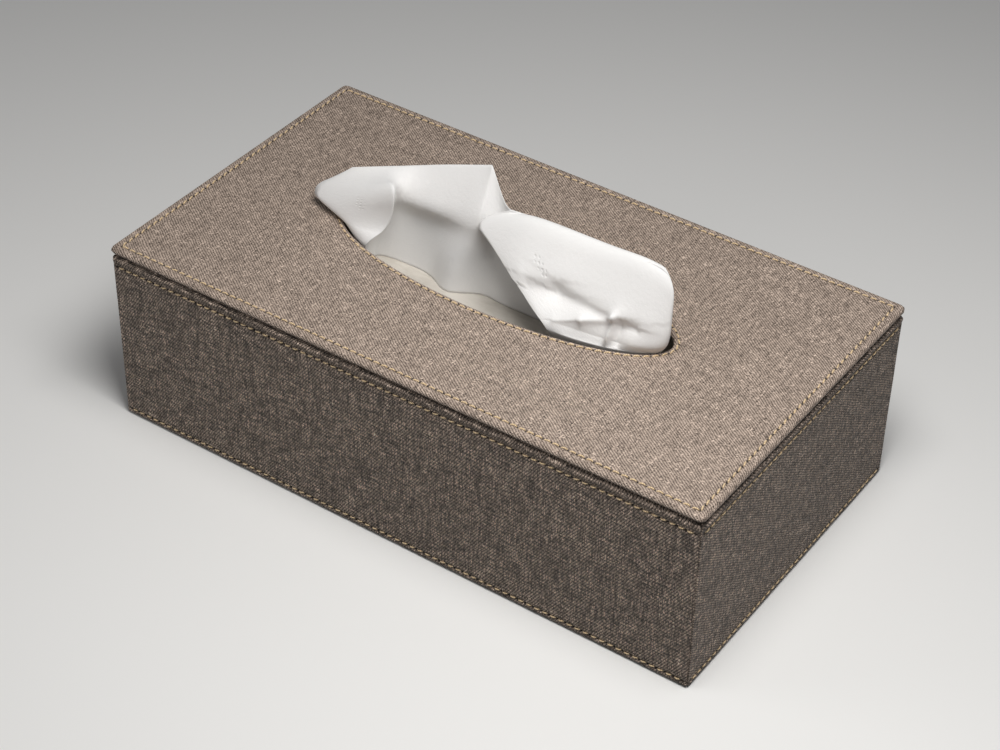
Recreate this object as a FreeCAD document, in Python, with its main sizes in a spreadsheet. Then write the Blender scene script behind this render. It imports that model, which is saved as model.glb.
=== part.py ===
import FreeCAD, Part
import os
import Sketcher
from FreeCAD import Placement, Rotation, Vector
from types import SimpleNamespace

# Tissue box of stitched leatherette over rigid boards, with a flap lid and a folded tissue in its slot.
# Millimetres. X runs along the long side, Y from front to back, Z up. The origin is the centre of the base.

SIZES = [
    ("lid_length", 250.0, "long side of the lid"),
    ("lid_width", 139.0, "short side of the lid"),
    ("box_height", 77.0, "table to the top of the lid"),
    ("lid_overhang", 0.6, "lid beyond the walls on every side"),
    ("rim_gap", 0.3, "air between the rim and the closed lid"),
    ("skin", 0.7, "leatherette"),
    ("wall_board", 3.0, "board in each wall"),
    ("lid_board", 1.7, "board in the lid"),
    ("base_board", 3.0, "board of the base"),
    ("base_pad", 0.5, "felt sheet under the base"),
    ("base_pad_inset", 1.5, "felt sheet's edge behind the walls' faces"),
    ("lining", 0.5, "lining sheets inside"),
    ("lining_play", 0.1, "air round the edge of a lining sheet"),
    ("wall_turn_in", 15.0, "leatherette folded over the rim, down the inside"),
    ("rim_radius", 1.9, "rounding of the rim"),
    ("foot_radius", 1.0, "rounding of the wall's bottom edge"),
    ("corner_seam", 0.1, "half of the seam between two walls' leatherette"),
    ("lid_edge_radius", 1.4, "rounding of the lid's edges"),
    ("lid_corner_radius", 2.2, "rounding of the lid's four corners"),
    ("lid_turn_in", 12.0, "leatherette folded under the lid's rim"),
    ("slot_length", 140.0, "tissue slot, end to end"),
    ("slot_width", 42.4, "tissue slot, front to back"),
    ("slot_turn_in", 9.0, "leatherette folded under round the slot"),
    ("stitch_pitch", 3.33, "one stitch and its hole"),
    ("stitch_lead", 0.45, "slope of a stitch down into its hole"),
    ("thread_width", 0.6, "sewing thread"),
    ("thread_rise", 0.12, "stitch above the leatherette"),
    ("thread_dip", 0.18, "thread left above the groove's floor at a hole"),
    ("groove_width", 0.9, "groove that a row of stitches pulls in"),
    ("groove_depth", 0.3, "depth of that groove"),
    ("top_row_drop", 4.7, "upper row of a wall, below the rim"),
    ("foot_row_rise", 2.3, "lower row of a wall, above its bottom edge"),
    ("row_end", 2.5, "end of a wall's row, from the corner"),
    ("lid_row_inset", 3.4, "lid's row, from the lid's edge"),
    ("slot_row_offset", 2.0, "slot's row, from the slot's edge"),
    ("hinge_end", 12.5, "end of the hinge strip, from the lid's end"),
    ("hinge_strip", 0.6, "leatherette of the hinge strip"),
    ("hinge_drop", 17.0, "hinge strip, down the back wall"),
    ("hinge_reach", 11.0, "hinge strip, in under the lid"),
    ("hinge_bend", 1.5, "outer radius of the hinge strip's bend"),
    ("hinge_row_drop", 14.0, "hinge strip's row, below the rim"),
    ("pack_end_room", 7.0, "free space at each end of the folded tissues"),
    ("pack_side_room", 8.5, "free space at each side of the folded tissues"),
    ("pack_height", 56.0, "height of the folded tissues"),
    ("pack_edge", 1.5, "rounding of the pack of tissues"),
    ("tissue", 0.4, "the two plies of the pulled tissue"),
    ("tissue_seat", 0.3, "pulled tissue above the pack"),
    ("peak_height", 37.0, "highest corner of the pulled tissue above the lid"),
]


class Size:
    """A length with its value and its formula in the sheet."""

    def __init__(self, value, formula):
        self.value = value
        self.formula = formula

    def __add__(self, other):
        other = as_size(other)
        return Size(self.value + other.value, f"({self.formula} + {other.formula})")

    def __sub__(self, other):
        other = as_size(other)
        return Size(self.value - other.value, f"({self.formula} - {other.formula})")

    def __mul__(self, other):
        other = as_size(other)
        return Size(self.value * other.value, f"({self.formula} * {other.formula})")

    def __truediv__(self, other):
        other = as_size(other)
        return Size(self.value / other.value, f"({self.formula} / {other.formula})")

    def __neg__(self):
        return self * -1

    __radd__ = __add__
    __rmul__ = __mul__


def as_size(number):
    """A bare number counts as a size whose formula is the number."""
    return number if isinstance(number, Size) else Size(number, str(number))


doc = FreeCAD.newDocument("TissueBox")
sheet = doc.addObject("Spreadsheet::Sheet", "Sizes")
for row, (alias, value, meaning) in enumerate(SIZES, start=1):
    sheet.set(f"A{row}", meaning)
    sheet.set(f"B{row}", str(value))
    sheet.setAlias(f"B{row}", alias)
doc.recompute()
s = SimpleNamespace(**{alias: Size(float(sheet.get(alias)), f"Sizes.{alias}") for alias, *rest in SIZES})

body_length = s.lid_length - 2 * s.lid_overhang
body_width = s.lid_width - 2 * s.lid_overhang
lid_thick = s.lid_board + 2 * s.skin
lid_under = s.box_height - lid_thick
rim = lid_under - s.rim_gap
wall_inner_board = s.skin + s.wall_board
wall_thick = wall_inner_board + s.skin
base_top = s.base_pad + s.base_board
floor_top = base_top + s.lining
pack_top = floor_top + s.pack_height
pack_length = body_length - 2 * wall_thick - 2 * s.pack_end_room
pack_width = body_width - 2 * wall_thick - 2 * s.pack_side_room
hinge_length = s.lid_length - 2 * s.hinge_end
slot_half_length = s.slot_length / 2
slot_half_width = s.slot_width / 2
beyond = 1.0


def bind(thing, path, size):
    """Tie one property of an object to the sheet."""
    thing.setExpression(path, as_size(size).formula)


def new_body(name):
    body = doc.addObject("PartDesign::Body", name)
    body.Label = name
    return body


def draw(body, role, loops, lift=0):
    """Closed outlines on one of the body's own planes, every corner tied to the sheet."""
    sketch = body.newObject("Sketcher::SketchObject", f"{body.Name}_outline")
    plane = [feature for feature in body.Origin.OriginFeatures if feature.Role == role][0]
    sketch.AttachmentSupport = [(plane, "")]
    sketch.MapMode = "FlatFace"
    bind(sketch, "AttachmentOffset.Base.z", lift)
    for corners in loops:
        corners = [(as_size(x), as_size(y)) for x, y in corners]
        points = [Vector(x.value, y.value, 0) for x, y in corners]
        first = sketch.GeometryCount
        count = len(points)
        for i in range(count):
            sketch.addGeometry(Part.LineSegment(points[i], points[(i + 1) % count]), False)
        for i in range(count):
            sketch.addConstraint(Sketcher.Constraint("Coincident", first + i, 2, first + (i + 1) % count, 1))
        for i, (x, y) in enumerate(corners):
            for kind, size in (("DistanceX", x), ("DistanceY", y)):
                made = sketch.addConstraint(Sketcher.Constraint(kind, -1, 1, first + i, 1, size.value))
                bind(sketch, f"Constraints[{made}]", size)
    return sketch


def rectangle(x_low, x_high, y_low, y_high):
    return [(x_low, y_low), (x_high, y_low), (x_high, y_high), (x_low, y_high)]


def centred(length, width):
    return rectangle(-length / 2, length / 2, -width / 2, width / 2)


def pad(body, sketch, length, both_ways=False):
    feature = body.newObject("PartDesign::Pad", f"{body.Name}_pad")
    feature.Profile = sketch
    feature.SideType = "Symmetric" if both_ways else "One side"
    bind(feature, "Length", length)
    return feature


def pocket(body, sketch, depth):
    feature = body.newObject("PartDesign::Pocket", f"{body.Name}_pocket")
    feature.Profile = sketch
    bind(feature, "Length", depth)
    return feature


def round_off(body, feature, radius, wanted):
    """Round the edges for which the test holds."""
    doc.recompute()
    names = [f"Edge{i}" for i, edge in enumerate(feature.Shape.Edges, start=1) if wanted(edge)]
    fillet = body.newObject("PartDesign::Fillet", f"{body.Name}_rounding")
    fillet.Base = (feature, names)
    bind(fillet, "Radius", radius)
    return fillet


def lies_at(edge, x=None, y=None, z=None):
    """True where the whole edge has the given coordinates."""
    box = edge.BoundBox
    spans = ((x, box.XMin, box.XMax), (y, box.YMin, box.YMax), (z, box.ZMin, box.ZMax))
    return all(at is None or max(abs(low - at), abs(high - at)) < 1e-4 for at, low, high in spans)


def upright(edge):
    box = edge.BoundBox
    return box.ZLength > 0.1 and box.XLength + box.YLength < 1e-4


def cut(name, base, tool):
    result = doc.addObject("Part::Cut", name)
    result.Base = base
    result.Tool = tool
    result.Label = name
    return result


def ellipse_prism(name, half_length, half_width, bottom, height):
    """An upright block over an ellipse."""
    ring = doc.addObject("Part::Ellipse", f"{name}_ring")
    bind(ring, "MajorRadius", half_length)
    bind(ring, "MinorRadius", half_width)
    bind(ring, "Placement.Base.z", bottom)
    prism = doc.addObject("Part::Extrusion", name)
    prism.Base = ring
    prism.DirMode = "Custom"
    prism.Dir = Vector(0, 0, 1)
    prism.Solid = True
    bind(prism, "LengthFwd", height)
    return prism


def block(name, outline, bottom, height):
    """A flat-sided block over one outline."""
    body = new_body(name)
    pad(body, draw(body, "XY_Plane", [outline], bottom), height)
    return body


# Each wall is drawn lying along X with its outer face at Y = 0 and the inside at positive Y.
WALLS = {
    "front": (body_length, 0, (0, -body_width / 2)),
    "right": (body_width, 90, (body_length / 2, 0)),
    "back": (body_length, 180, (0, body_width / 2)),
    "left": (body_width, 270, (-body_length / 2, 0)),
}


def stand(thing, wall):
    """Turn a piece drawn in the wall's own frame and put it where that wall stands."""
    span, turn, (x, y) = WALLS[wall]
    thing.Placement = Placement(Vector(0, 0, 0), Rotation(Vector(0, 0, 1), turn))
    bind(thing, "Placement.Base.x", x)
    bind(thing, "Placement.Base.y", y)


def mitred(span, near, far, seam):
    """Plan of a wall layer between two depths, its ends cut at 45 degrees."""
    half_near = span / 2 - seam - near
    half_far = span / 2 - seam - far
    return [(-half_near, near), (half_near, near), (half_far, far), (-half_far, far)]


def row_heights(wall):
    """Stitched rows on a wall's leatherette. The hinge strip covers the back wall's upper row."""
    lower = s.base_pad + s.foot_row_rise
    upper = rim - s.top_row_drop
    return {"foot": lower} if wall == "back" else {"foot": lower, "top": upper}


def make_wall(wall):
    """A mitred board, and the leatherette wrapped round it from under the foot to inside the rim."""
    span = WALLS[wall][0]
    board = new_body(f"{wall}_board")
    board_foot = s.base_pad + s.skin
    board_rim = rim - s.skin
    plan = draw(board, "XY_Plane", [mitred(span, s.skin, wall_inner_board, 0)], board_foot)
    slab = pad(board, plan, board_rim - board_foot)
    round_off(board, slab, s.rim_radius - s.skin, lambda edge: along_wall(edge, board_rim))
    stand(board, wall)

    wrap = new_body(f"{wall}_wrap")
    plan = draw(wrap, "XY_Plane", [mitred(span, as_size(0), wall_inner_board, s.corner_seam)], s.base_pad)
    pad(wrap, plan, rim - s.base_pad)
    plan = draw(wrap, "XY_Plane", [mitred(span, wall_inner_board, wall_thick, s.corner_seam)], rim - s.wall_turn_in)
    whole = pad(wrap, plan, s.wall_turn_in)
    rounded = round_off(wrap, whole, s.rim_radius, lambda edge: along_wall(edge, rim))
    foot = s.base_pad.value
    round_off(wrap, rounded, s.foot_radius, lambda edge: lies_at(edge, y=0, z=foot))
    half = span / 2 - s.row_end
    lanes = []
    for height in row_heights(wall).values():
        lanes.append(rectangle(-half, half, height - s.groove_width / 2, height + s.groove_width / 2))
    pocket(wrap, draw(wrap, "XZ_Plane", lanes), s.groove_depth)
    stand(wrap, wall)
    return {f"{wall}_board": board, f"{wall}_cover": cut(f"{wall}_cover", wrap, board)}


def along_wall(edge, height):
    """A long top edge of a wall drawn along X."""
    return lies_at(edge, z=height.value) and edge.BoundBox.YLength < 1e-4


def thread_profile(run):
    """Side view of a row: flat stitches with a V down to each needle hole."""
    count = max(1, round(run / s.stitch_pitch.value))
    step = run / count
    lead = s.stitch_lead.value
    low = s.thread_dip.value
    high = s.groove_depth.value + s.thread_rise.value
    outline = [(0, low)]
    for i in range(count):
        outline += [(i * step + lead, high), ((i + 1) * step - lead, high), ((i + 1) * step, low)]
    return outline


def straight_thread(start, along, up, run):
    """One straight row as a single solid. The start lies on the surface, at the row's middle line."""
    side = along.cross(up)
    outline = [(0, 0)] + thread_profile(run) + [(run, 0)]
    sunk = start - up * s.groove_depth.value - side * (s.thread_width.value / 2)
    points = [sunk + along * reach + up * height for reach, height in outline]
    return Part.Face(Part.makePolygon(points + points[:1])).extrude(side * s.thread_width.value)


def round_thread(half_length, half_width, top):
    """A row that follows an ellipse on a level surface, as one closed ring."""
    line = Part.Ellipse(Vector(0, 0, top), half_length, half_width).toShape()
    sections = []
    for reach, height in thread_profile(line.Length)[:-1]:
        place = line.getParameterByLength(reach)
        middle = line.valueAt(place)
        outward = line.tangentAt(place).cross(Vector(0, 0, 1)) * (s.thread_width.value / 2)
        foot = Vector(0, 0, -s.groove_depth.value)
        crown = Vector(0, 0, height - s.groove_depth.value)
        sections.append([middle - outward + foot, middle - outward + crown,
                         middle + outward + crown, middle + outward + foot])
    faces = []
    for here, there in zip(sections, sections[1:] + sections[:1]):
        for i in range(4):
            j = (i + 1) % 4
            faces.append(Part.Face(Part.makePolygon([here[i], here[j], there[j], here[i]])))
            faces.append(Part.Face(Part.makePolygon([here[i], there[j], there[i], here[i]])))
    shell = Part.makeShell(faces)
    shell.sewShape()
    solid = Part.makeSolid(Part.Shell(shell.Faces))
    return solid


def keep(name, shape):
    """A piece whose form is worked out here."""
    piece = doc.addObject("Part::Feature", name)
    piece.Label = name
    piece.Shape = shape
    return piece


def make_wall_threads(wall):
    span = WALLS[wall][0].value
    run = span - 2 * s.row_end.value
    rows = {}
    for level, height in row_heights(wall).items():
        name = f"{wall}_{level}_thread"
        start = Vector(-run / 2, 0, height.value)
        rows[name] = keep(name, straight_thread(start, Vector(1, 0, 0), Vector(0, -1, 0), run))
        stand(rows[name], wall)
    return rows


def make_base():
    """Board between the walls, lining sheets inside and a felt sheet underneath."""
    room_length = body_length - 2 * wall_inner_board
    room_width = body_width - 2 * wall_inner_board
    base = block("base_board", centred(room_length, room_width), s.base_pad, s.base_board)
    pad_sheet = block("base_pad", centred(body_length - 2 * s.base_pad_inset, body_width - 2 * s.base_pad_inset),
                      as_size(0), s.base_pad)
    floor_lining = block("floor_lining", centred(room_length, room_width), base_top, s.lining)
    wall_lining = new_body("wall_lining")
    inner = centred(room_length - 2 * s.lining, room_width - 2 * s.lining)
    ring = draw(wall_lining, "XY_Plane", [centred(room_length, room_width), inner], floor_top)
    pad(wall_lining, ring, rim - s.wall_turn_in - floor_top)
    return {"base_board": base, "base_pad": pad_sheet, "floor_lining": floor_lining, "wall_lining": wall_lining}


def lid_slab(name, inset, bottom, height, edge_radius):
    """The lid's outline with its slot, brought in or up to a layer, every level edge rounded."""
    slab = new_body(f"{name}_slab")
    outline = centred(s.lid_length - 2 * inset, s.lid_width - 2 * inset)
    plate = pad(slab, draw(slab, "XY_Plane", [outline], bottom), height)
    round_off(slab, plate, s.lid_corner_radius - inset, upright)
    hole = ellipse_prism(f"{name}_hole", slot_half_length + inset, slot_half_width + inset,
                         bottom - beyond, height + 2 * beyond)
    pierced = cut(f"{name}_pierced", slab, hole)
    doc.recompute()
    levels = (bottom.value, (bottom + height).value)
    radius = edge_radius.value
    smooth = doc.addObject("Part::Fillet", name)
    smooth.Label = name
    smooth.Base = pierced
    smooth.Edges = [(i, radius, radius) for i, edge in enumerate(pierced.Shape.Edges, start=1)
                    if any(lies_at(edge, z=level) for level in levels)]
    return smooth


def make_lid():
    """Pierced board, its leatherette folded under at every edge, and the lining between the folds."""
    top = s.box_height
    board = lid_slab("lid_board", s.skin, lid_under + s.skin, s.lid_board, s.lid_edge_radius - s.skin)
    cover = cut("lid_wrap", lid_slab("lid_form", as_size(0), lid_under, lid_thick, s.lid_edge_radius), board)

    field = centred(s.lid_length - 2 * s.lid_turn_in, s.lid_width - 2 * s.lid_turn_in)
    field_block = block("lining_field", field, lid_under - beyond, s.skin + beyond)
    field_hole = ellipse_prism("field_hole", slot_half_length + s.slot_turn_in, slot_half_width + s.slot_turn_in,
                               lid_under - 2 * beyond, s.skin + 4 * beyond)
    cover = cut("lid_wrap_lined", cover, cut("lining_recess", field_block, field_hole))

    hinge_half = hinge_length / 2 + s.rim_gap
    strip_bed = rectangle(-hinge_half, hinge_half, s.lid_width / 2 - s.lid_turn_in, s.lid_width / 2 + beyond)
    cover = cut("lid_wrap_hinged", cover, block("hinge_bed", strip_bed, lid_under - beyond, s.skin + beyond))

    lane = new_body("lid_lane")
    wide = s.lid_row_inset - s.groove_width / 2
    narrow = s.lid_row_inset + s.groove_width / 2
    loops = [centred(s.lid_length - 2 * inset, s.lid_width - 2 * inset) for inset in (wide, narrow)]
    pad(lane, draw(lane, "XY_Plane", loops, top - s.groove_depth), s.groove_depth + beyond)
    cover = cut("lid_wrap_rowed", cover, lane)

    outer = s.slot_row_offset + s.groove_width / 2
    inner = s.slot_row_offset - s.groove_width / 2
    lane_out = ellipse_prism("slot_lane_out", slot_half_length + outer, slot_half_width + outer,
                             top - s.groove_depth, s.groove_depth + beyond)
    lane_in = ellipse_prism("slot_lane_in", slot_half_length + inner, slot_half_width + inner,
                            top - s.groove_depth - beyond, s.groove_depth + 3 * beyond)
    cover = cut("lid_cover", cover, cut("slot_lane", lane_out, lane_in))

    lining_sheet = block("lining_sheet", centred(s.lid_length - 2 * (s.lid_turn_in + s.lining_play),
                                                 s.lid_width - 2 * (s.lid_turn_in + s.lining_play)),
                         lid_under + s.skin - s.lining, s.lining)
    hole_grow = s.slot_turn_in + s.lining_play
    lining_hole = ellipse_prism("lining_hole", slot_half_length + hole_grow, slot_half_width + hole_grow,
                                lid_under - beyond, s.skin + 2 * beyond)
    lining = cut("lid_lining", lining_sheet, lining_hole)
    return {"lid_board": board, "lid_cover": cover, "lid_lining": lining}


def make_lid_threads():
    """One row round the lid's edge and one round the slot."""
    top = s.box_height.value
    along = s.lid_length.value / 2 - s.lid_row_inset.value
    across = s.lid_width.value / 2 - s.lid_row_inset.value
    up = Vector(0, 0, 1)
    rows = []
    for sign in (-1, 1):
        rows.append(straight_thread(Vector(-along, sign * across, top), Vector(1, 0, 0), up, 2 * along))
        rows.append(straight_thread(Vector(sign * along, -across, top), Vector(0, 1, 0), up, 2 * across))
    edge = keep("lid_edge_thread", rows[0].multiFuse(rows[1:]))
    slot = round_thread(slot_half_length.value + s.slot_row_offset.value,
                        slot_half_width.value + s.slot_row_offset.value, top)
    return {"lid_edge_thread": edge, "slot_thread": keep("slot_thread", slot)}


def make_hinge():
    """Strip glued under the lid, bent over the rim and sewn down the back wall."""
    strip = new_body("hinge_strip")
    inner = body_width / 2
    outer = inner + s.hinge_strip
    high = lid_under + s.skin
    under = high - s.hinge_strip
    low = rim - s.hinge_drop
    reach = outer - s.hinge_reach
    side_view = [(outer, low), (outer, high), (reach, high), (reach, under), (inner, under), (inner, low)]
    ell = pad(strip, draw(strip, "YZ_Plane", [side_view]), hinge_length, both_ways=True)
    bent = round_off(strip, ell, s.hinge_bend, lambda edge: lies_at(edge, y=outer.value, z=high.value))
    round_off(strip, bent, s.hinge_bend - s.hinge_strip, lambda edge: lies_at(edge, y=inner.value, z=under.value))
    level = rim - s.hinge_row_drop
    half = hinge_length / 2 - s.row_end
    lane = rectangle(-half, half, level - s.groove_width / 2, level + s.groove_width / 2)
    pocket(strip, draw(strip, "XZ_Plane", [lane], -outer), s.groove_depth).Reversed = True
    start = Vector(half.value, outer.value, level.value)
    row = straight_thread(start, Vector(-1, 0, 0), Vector(0, 1, 0), 2 * half.value)
    return {"hinge_strip": strip, "hinge_thread": keep("hinge_thread", row)}


def make_pack():
    """The stack of folded tissues on the floor lining."""
    pack = new_body("tissue_pack")
    stack = pad(pack, draw(pack, "XY_Plane", [centred(pack_length, pack_width)], floor_top), s.pack_height)
    top = pack_top.value
    round_off(pack, stack, s.pack_edge, lambda edge: upright(edge) or lies_at(edge, z=top))
    return {"tissue_pack": pack}


# The pulled tissue is one sheet in an open loop. It starts at the slot's left end, folds sharply at the front
# left, runs along the back and round the right end, and comes back along the front to a free edge.
# Each column climbs from the pack, through the slot, to the upper edge. A point is how far it lies to the
# right of the slot's centre, how far behind it, and how far above the lid, for the slot and peak drawn here.
DRAWN_SLOT_LENGTH = 140.0
DRAWN_SLOT_WIDTH = 42.4
DRAWN_PEAK = 37.0
TISSUE = [
    # left end, out to the tip
    [(-60, -1, 0), (-65, -1, -6), (-67.6, -1, 0.8), (-81, -5, 3.2),
     (-83, -2, 7), (-74, 0, 13), (-67.5, 1.5, 19)],
    # left flap
    [(-56, -4, 0), (-60, -8, -6), (-62, -8.5, 0.5), (-68, -9, 5),
     (-69, -6, 9), (-65, -2, 15), (-61, 2.5, 21)],
    # fold at the slot's front left, outside
    [(-50, -6, 0), (-49, -10, -6), (-49.5, -11.8, 0.5), (-46, -7, 6),
     (-45, -3, 11), (-50, 2, 17), (-55, 4, 23)],
    # the same fold, inside
    [(-50, -4, 0), (-49, -8, -6), (-50, -10.5, 0.5), (-46, -6, 6),
     (-45, -2, 11), (-50, 3, 17), (-54, 4.5, 23.5)],
    # hollow behind that fold
    [(-62, 4, 0), (-62, 4, -6), (-61, 4, 1), (-58, 4, 7),
     (-54, 4, 12), (-52, 4.5, 18), (-51, 6, 24.5)],
    # back
    [(-46, 5, 0), (-45, 6, -6), (-44, 6.5, 1), (-43, 7, 8),
     (-43, 7.5, 15), (-42, 8, 22), (-42, 7.5, 28)],
    [(-34, 5, 0), (-33, 5.5, -6), (-32, 6, 1), (-31, 6.5, 9),
     (-30, 7, 17), (-29, 8, 25), (-29, 9, 31.5)],
    # ridge
    [(-25, -1, 0), (-23, 0, -6), (-21.5, 1, 1), (-19, 2, 8),
     (-16, 3.5, 16), (-15, 6.5, 25), (-16, 9.5, 36)],
    # peak, left of the corner
    [(-14, 4, 0), (-12, 5, -6), (-10, 6, 1), (-9, 6.5, 8),
     (-8.5, 6.5, 15), (-11, 8, 24), (-13, 10, 37.5)],
    # peak, right of the corner
    [(-10, 4.5, 0), (-8, 6, -6), (-6, 7, 1), (-6, 7.5, 8),
     (-6, 7.5, 15), (-9, 8, 23), (-12.5, 10, 37.5)],
    # valley
    [(-6, 5, 0), (-4, 7, -6), (-3, 8, 1), (-3, 9, 7),
     (-4, 9, 12), (-5.5, 9, 18), (-6, 8, 22)],
    [(-1, 5, 0), (1, 7, -6), (2, 8, 1), (2, 9, 7),
     (1, 9, 12), (0, 9, 18), (0, 8, 23.5)],
    # back, behind the front flap
    [(12, 5, 0), (14, 8, -6), (14, 10, 1), (14, 11, 8),
     (14, 11, 15), (14, 9.5, 22), (14, 6.5, 27)],
    # back
    [(26, 5, 0), (28, 8, -6), (28, 10, 1), (28, 11, 8),
     (28, 11, 16), (28, 9, 23), (28, 5.5, 28.6)],
    [(40, 5, 0), (43, 7, -6), (44, 9, 1), (44, 10, 8),
     (44, 9.5, 17), (44, 7, 25), (44, 3.5, 30)],
    [(50, 3, 0), (56, 5, -6), (58, 6, 1), (59, 6, 9),
     (60, 6, 18), (60, 4, 27), (59, 2.5, 32)],
    # right end
    [(56, -1, 0), (63, -2, -6), (67, -2, 1), (71, -1, 8),
     (74, -1, 17), (72, -1, 26), (67, 0.5, 32)],
    # front flap
    [(48, -4, 0), (58, -8, -6), (60, -9, 0.5), (61, -8, 6),
     (62, -6, 14), (60, -3, 23), (59, 1.5, 32)],
    [(40, -5, 0), (48, -11, -6), (49, -13, 0.5), (47, -12, 5),
     (44, -9, 13), (44, -4, 22), (44, 2.5, 30)],
    [(34, -5, 0), (39, -13, -6), (39, -15.5, 0.8), (33, -14, 5),
     (28, -9, 12), (28, -3, 20), (28, 4.5, 28.6)],
    [(30, -5, 0), (32, -13, -6), (32, -16.5, 0.8), (24, -15, 5),
     (14, -9, 11), (12, -3, 18), (13, 5.5, 27)],
    # front flap's free edge
    [(28, -5, 0), (30, -13, -6), (29.5, -17, 0.8), (20, -14.5, 5),
     (6, -8, 13.5), (-12, 1, 16), (-3, 7, 22.5)],
]


def net_surface(net):
    """Smooth surface drawn by a net of points, cubic along the loop and quadratic up each column."""
    knots_along, counts_along = even_knots(len(net), 3)
    knots_up, counts_up = even_knots(len(net[0]), 2)
    surface = Part.BSplineSurface()
    surface.buildFromPolesMultsKnots(net, counts_along, counts_up, knots_along, knots_up, False, False, 3, 2)
    return surface


def even_knots(poles, degree):
    """Evenly spaced knots of a spline that starts and ends on its outer points."""
    knots = [float(i) for i in range(poles - degree + 1)]
    counts = [degree + 1] + [1] * (len(knots) - 2) + [degree + 1]
    return knots, counts


def shifted(net, distance):
    """The net moved square to itself."""
    last_column = len(net) - 1
    last_row = len(net[0]) - 1
    moved = []
    for i, column in enumerate(net):
        moved.append([])
        for j, point in enumerate(column):
            along = net[min(i + 1, last_column)][j] - net[max(i - 1, 0)][j]
            up = column[min(j + 1, last_row)] - column[max(j - 1, 0)]
            moved[-1].append(point + along.cross(up).normalize() * distance)
    return moved


def border(near, far, degree):
    """Narrow strip that joins the edges of two nets, as wide as the sheet is thick."""
    knots, counts = even_knots(len(near), degree)
    surface = Part.BSplineSurface()
    surface.buildFromPolesMultsKnots(list(zip(near, far)), counts, [2, 2], knots, [0.0, 1.0], False, False, degree, 1)
    return surface


def make_tissue():
    """One thin sheet drawn by the tissue's points, which pull it towards them."""
    low = (pack_top + s.tissue_seat + s.tissue / 2).value
    longer = s.slot_length.value / DRAWN_SLOT_LENGTH
    wider = s.slot_width.value / DRAWN_SLOT_WIDTH
    taller = s.peak_height.value / DRAWN_PEAK
    net = []
    for points in TISSUE:
        heights = [low] + [s.box_height.value + rise * taller for right, behind, rise in points[1:]]
        net.append([Vector(right * longer, behind * wider, height)
                    for (right, behind, rise), height in zip(points, heights)])
    near, far = [shifted(net, sign * s.tissue.value / 2) for sign in (-1, 1)]
    sides = [net_surface(near), net_surface(far)]
    for end in (0, -1):
        sides.append(border(near[end], far[end], 2))
        sides.append(border([column[end] for column in near], [column[end] for column in far], 3))
    shell = Part.makeShell([side.toShape() for side in sides])
    shell.sewShape()
    return {"pulled_tissue": keep("pulled_tissue", Part.makeSolid(Part.Shell(shell.Faces)))}


nodes = {}
for wall_name in WALLS:
    nodes.update(make_wall(wall_name))
    nodes.update(make_wall_threads(wall_name))
nodes.update(make_base())
nodes.update(make_lid())
nodes.update(make_lid_threads())
nodes.update(make_hinge())
nodes.update(make_pack())
nodes.update(make_tissue())

doc.recompute()
for thing in doc.Objects:
    if {"Invalid", "Error"} & set(thing.State):
        raise RuntimeError(f"{thing.Label} could not be made: {thing.State}")
for name, piece in nodes.items():
    if piece.Shape.isNull() or not piece.Shape.isValid() or not piece.Shape.Solids:
        raise RuntimeError(f"{name} is not a sound solid")
    if piece.Label != name:
        raise RuntimeError(f"{name} has the label {piece.Label}")

os.makedirs("parts", exist_ok=True)
for name, piece in nodes.items():
    piece.Shape.exportStep(f"parts/{name}.step")
    box = piece.Shape.BoundBox
    print(f"{name:20} {len(piece.Shape.Solids)} solid, {piece.Shape.Volume:10.1f} mm3, "
          f"z {box.ZMin:.2f} to {box.ZMax:.2f}, y {box.YMin:.2f} to {box.YMax:.2f}")
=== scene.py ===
"""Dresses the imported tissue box: woven leatherette, stitching, linings and the tissues."""

import logging
import math
from dataclasses import dataclass, field
from enum import Enum
from typing import Any, Iterable, Optional, Sequence, Union

import bmesh
import bpy
import numpy as np
from mathutils import Matrix, Vector
from numpy.typing import NDArray


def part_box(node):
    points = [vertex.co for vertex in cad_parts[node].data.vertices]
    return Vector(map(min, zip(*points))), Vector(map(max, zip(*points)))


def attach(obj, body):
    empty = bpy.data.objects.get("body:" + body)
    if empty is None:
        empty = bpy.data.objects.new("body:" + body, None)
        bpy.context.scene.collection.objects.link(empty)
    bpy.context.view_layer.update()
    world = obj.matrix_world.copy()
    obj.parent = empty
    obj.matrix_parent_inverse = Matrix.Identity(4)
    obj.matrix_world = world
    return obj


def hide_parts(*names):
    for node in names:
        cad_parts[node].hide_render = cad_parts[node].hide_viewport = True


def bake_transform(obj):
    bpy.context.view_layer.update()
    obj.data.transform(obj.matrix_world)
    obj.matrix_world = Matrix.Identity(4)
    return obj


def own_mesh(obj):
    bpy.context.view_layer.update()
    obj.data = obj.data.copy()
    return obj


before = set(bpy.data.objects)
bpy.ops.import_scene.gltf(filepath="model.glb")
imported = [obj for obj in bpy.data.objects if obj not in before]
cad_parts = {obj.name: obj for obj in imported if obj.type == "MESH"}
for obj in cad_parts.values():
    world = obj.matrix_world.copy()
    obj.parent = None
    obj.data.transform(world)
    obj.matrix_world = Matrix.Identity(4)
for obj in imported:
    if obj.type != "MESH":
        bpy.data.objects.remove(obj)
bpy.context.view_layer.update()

Array = NDArray[np.float64]
Colour = tuple[float, float, float]
Span = tuple[float, float]
Value = Union[float, int, bpy.types.NodeSocket]

log = logging.getLogger("tissue_box")

MM = 0.001
SMALLEST_RADIUS = 0.25 * MM
ONE_PLACE = 0.001 * MM
ELLIPSE_STEPS = 4001
WAVES = 5
NOISE_SPAN = (0.3, 0.7)
SLOW_NOISE = (1.0, 3.0)
QUICK_NOISE = (14.0, 4.0, 0.65)
ROW_SHARES = (-2.6, -1.6, -1.0, -0.6, -0.25, 0.0, 0.25, 0.6, 1.0, 1.6, 2.6)


# Shader graphs


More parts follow.
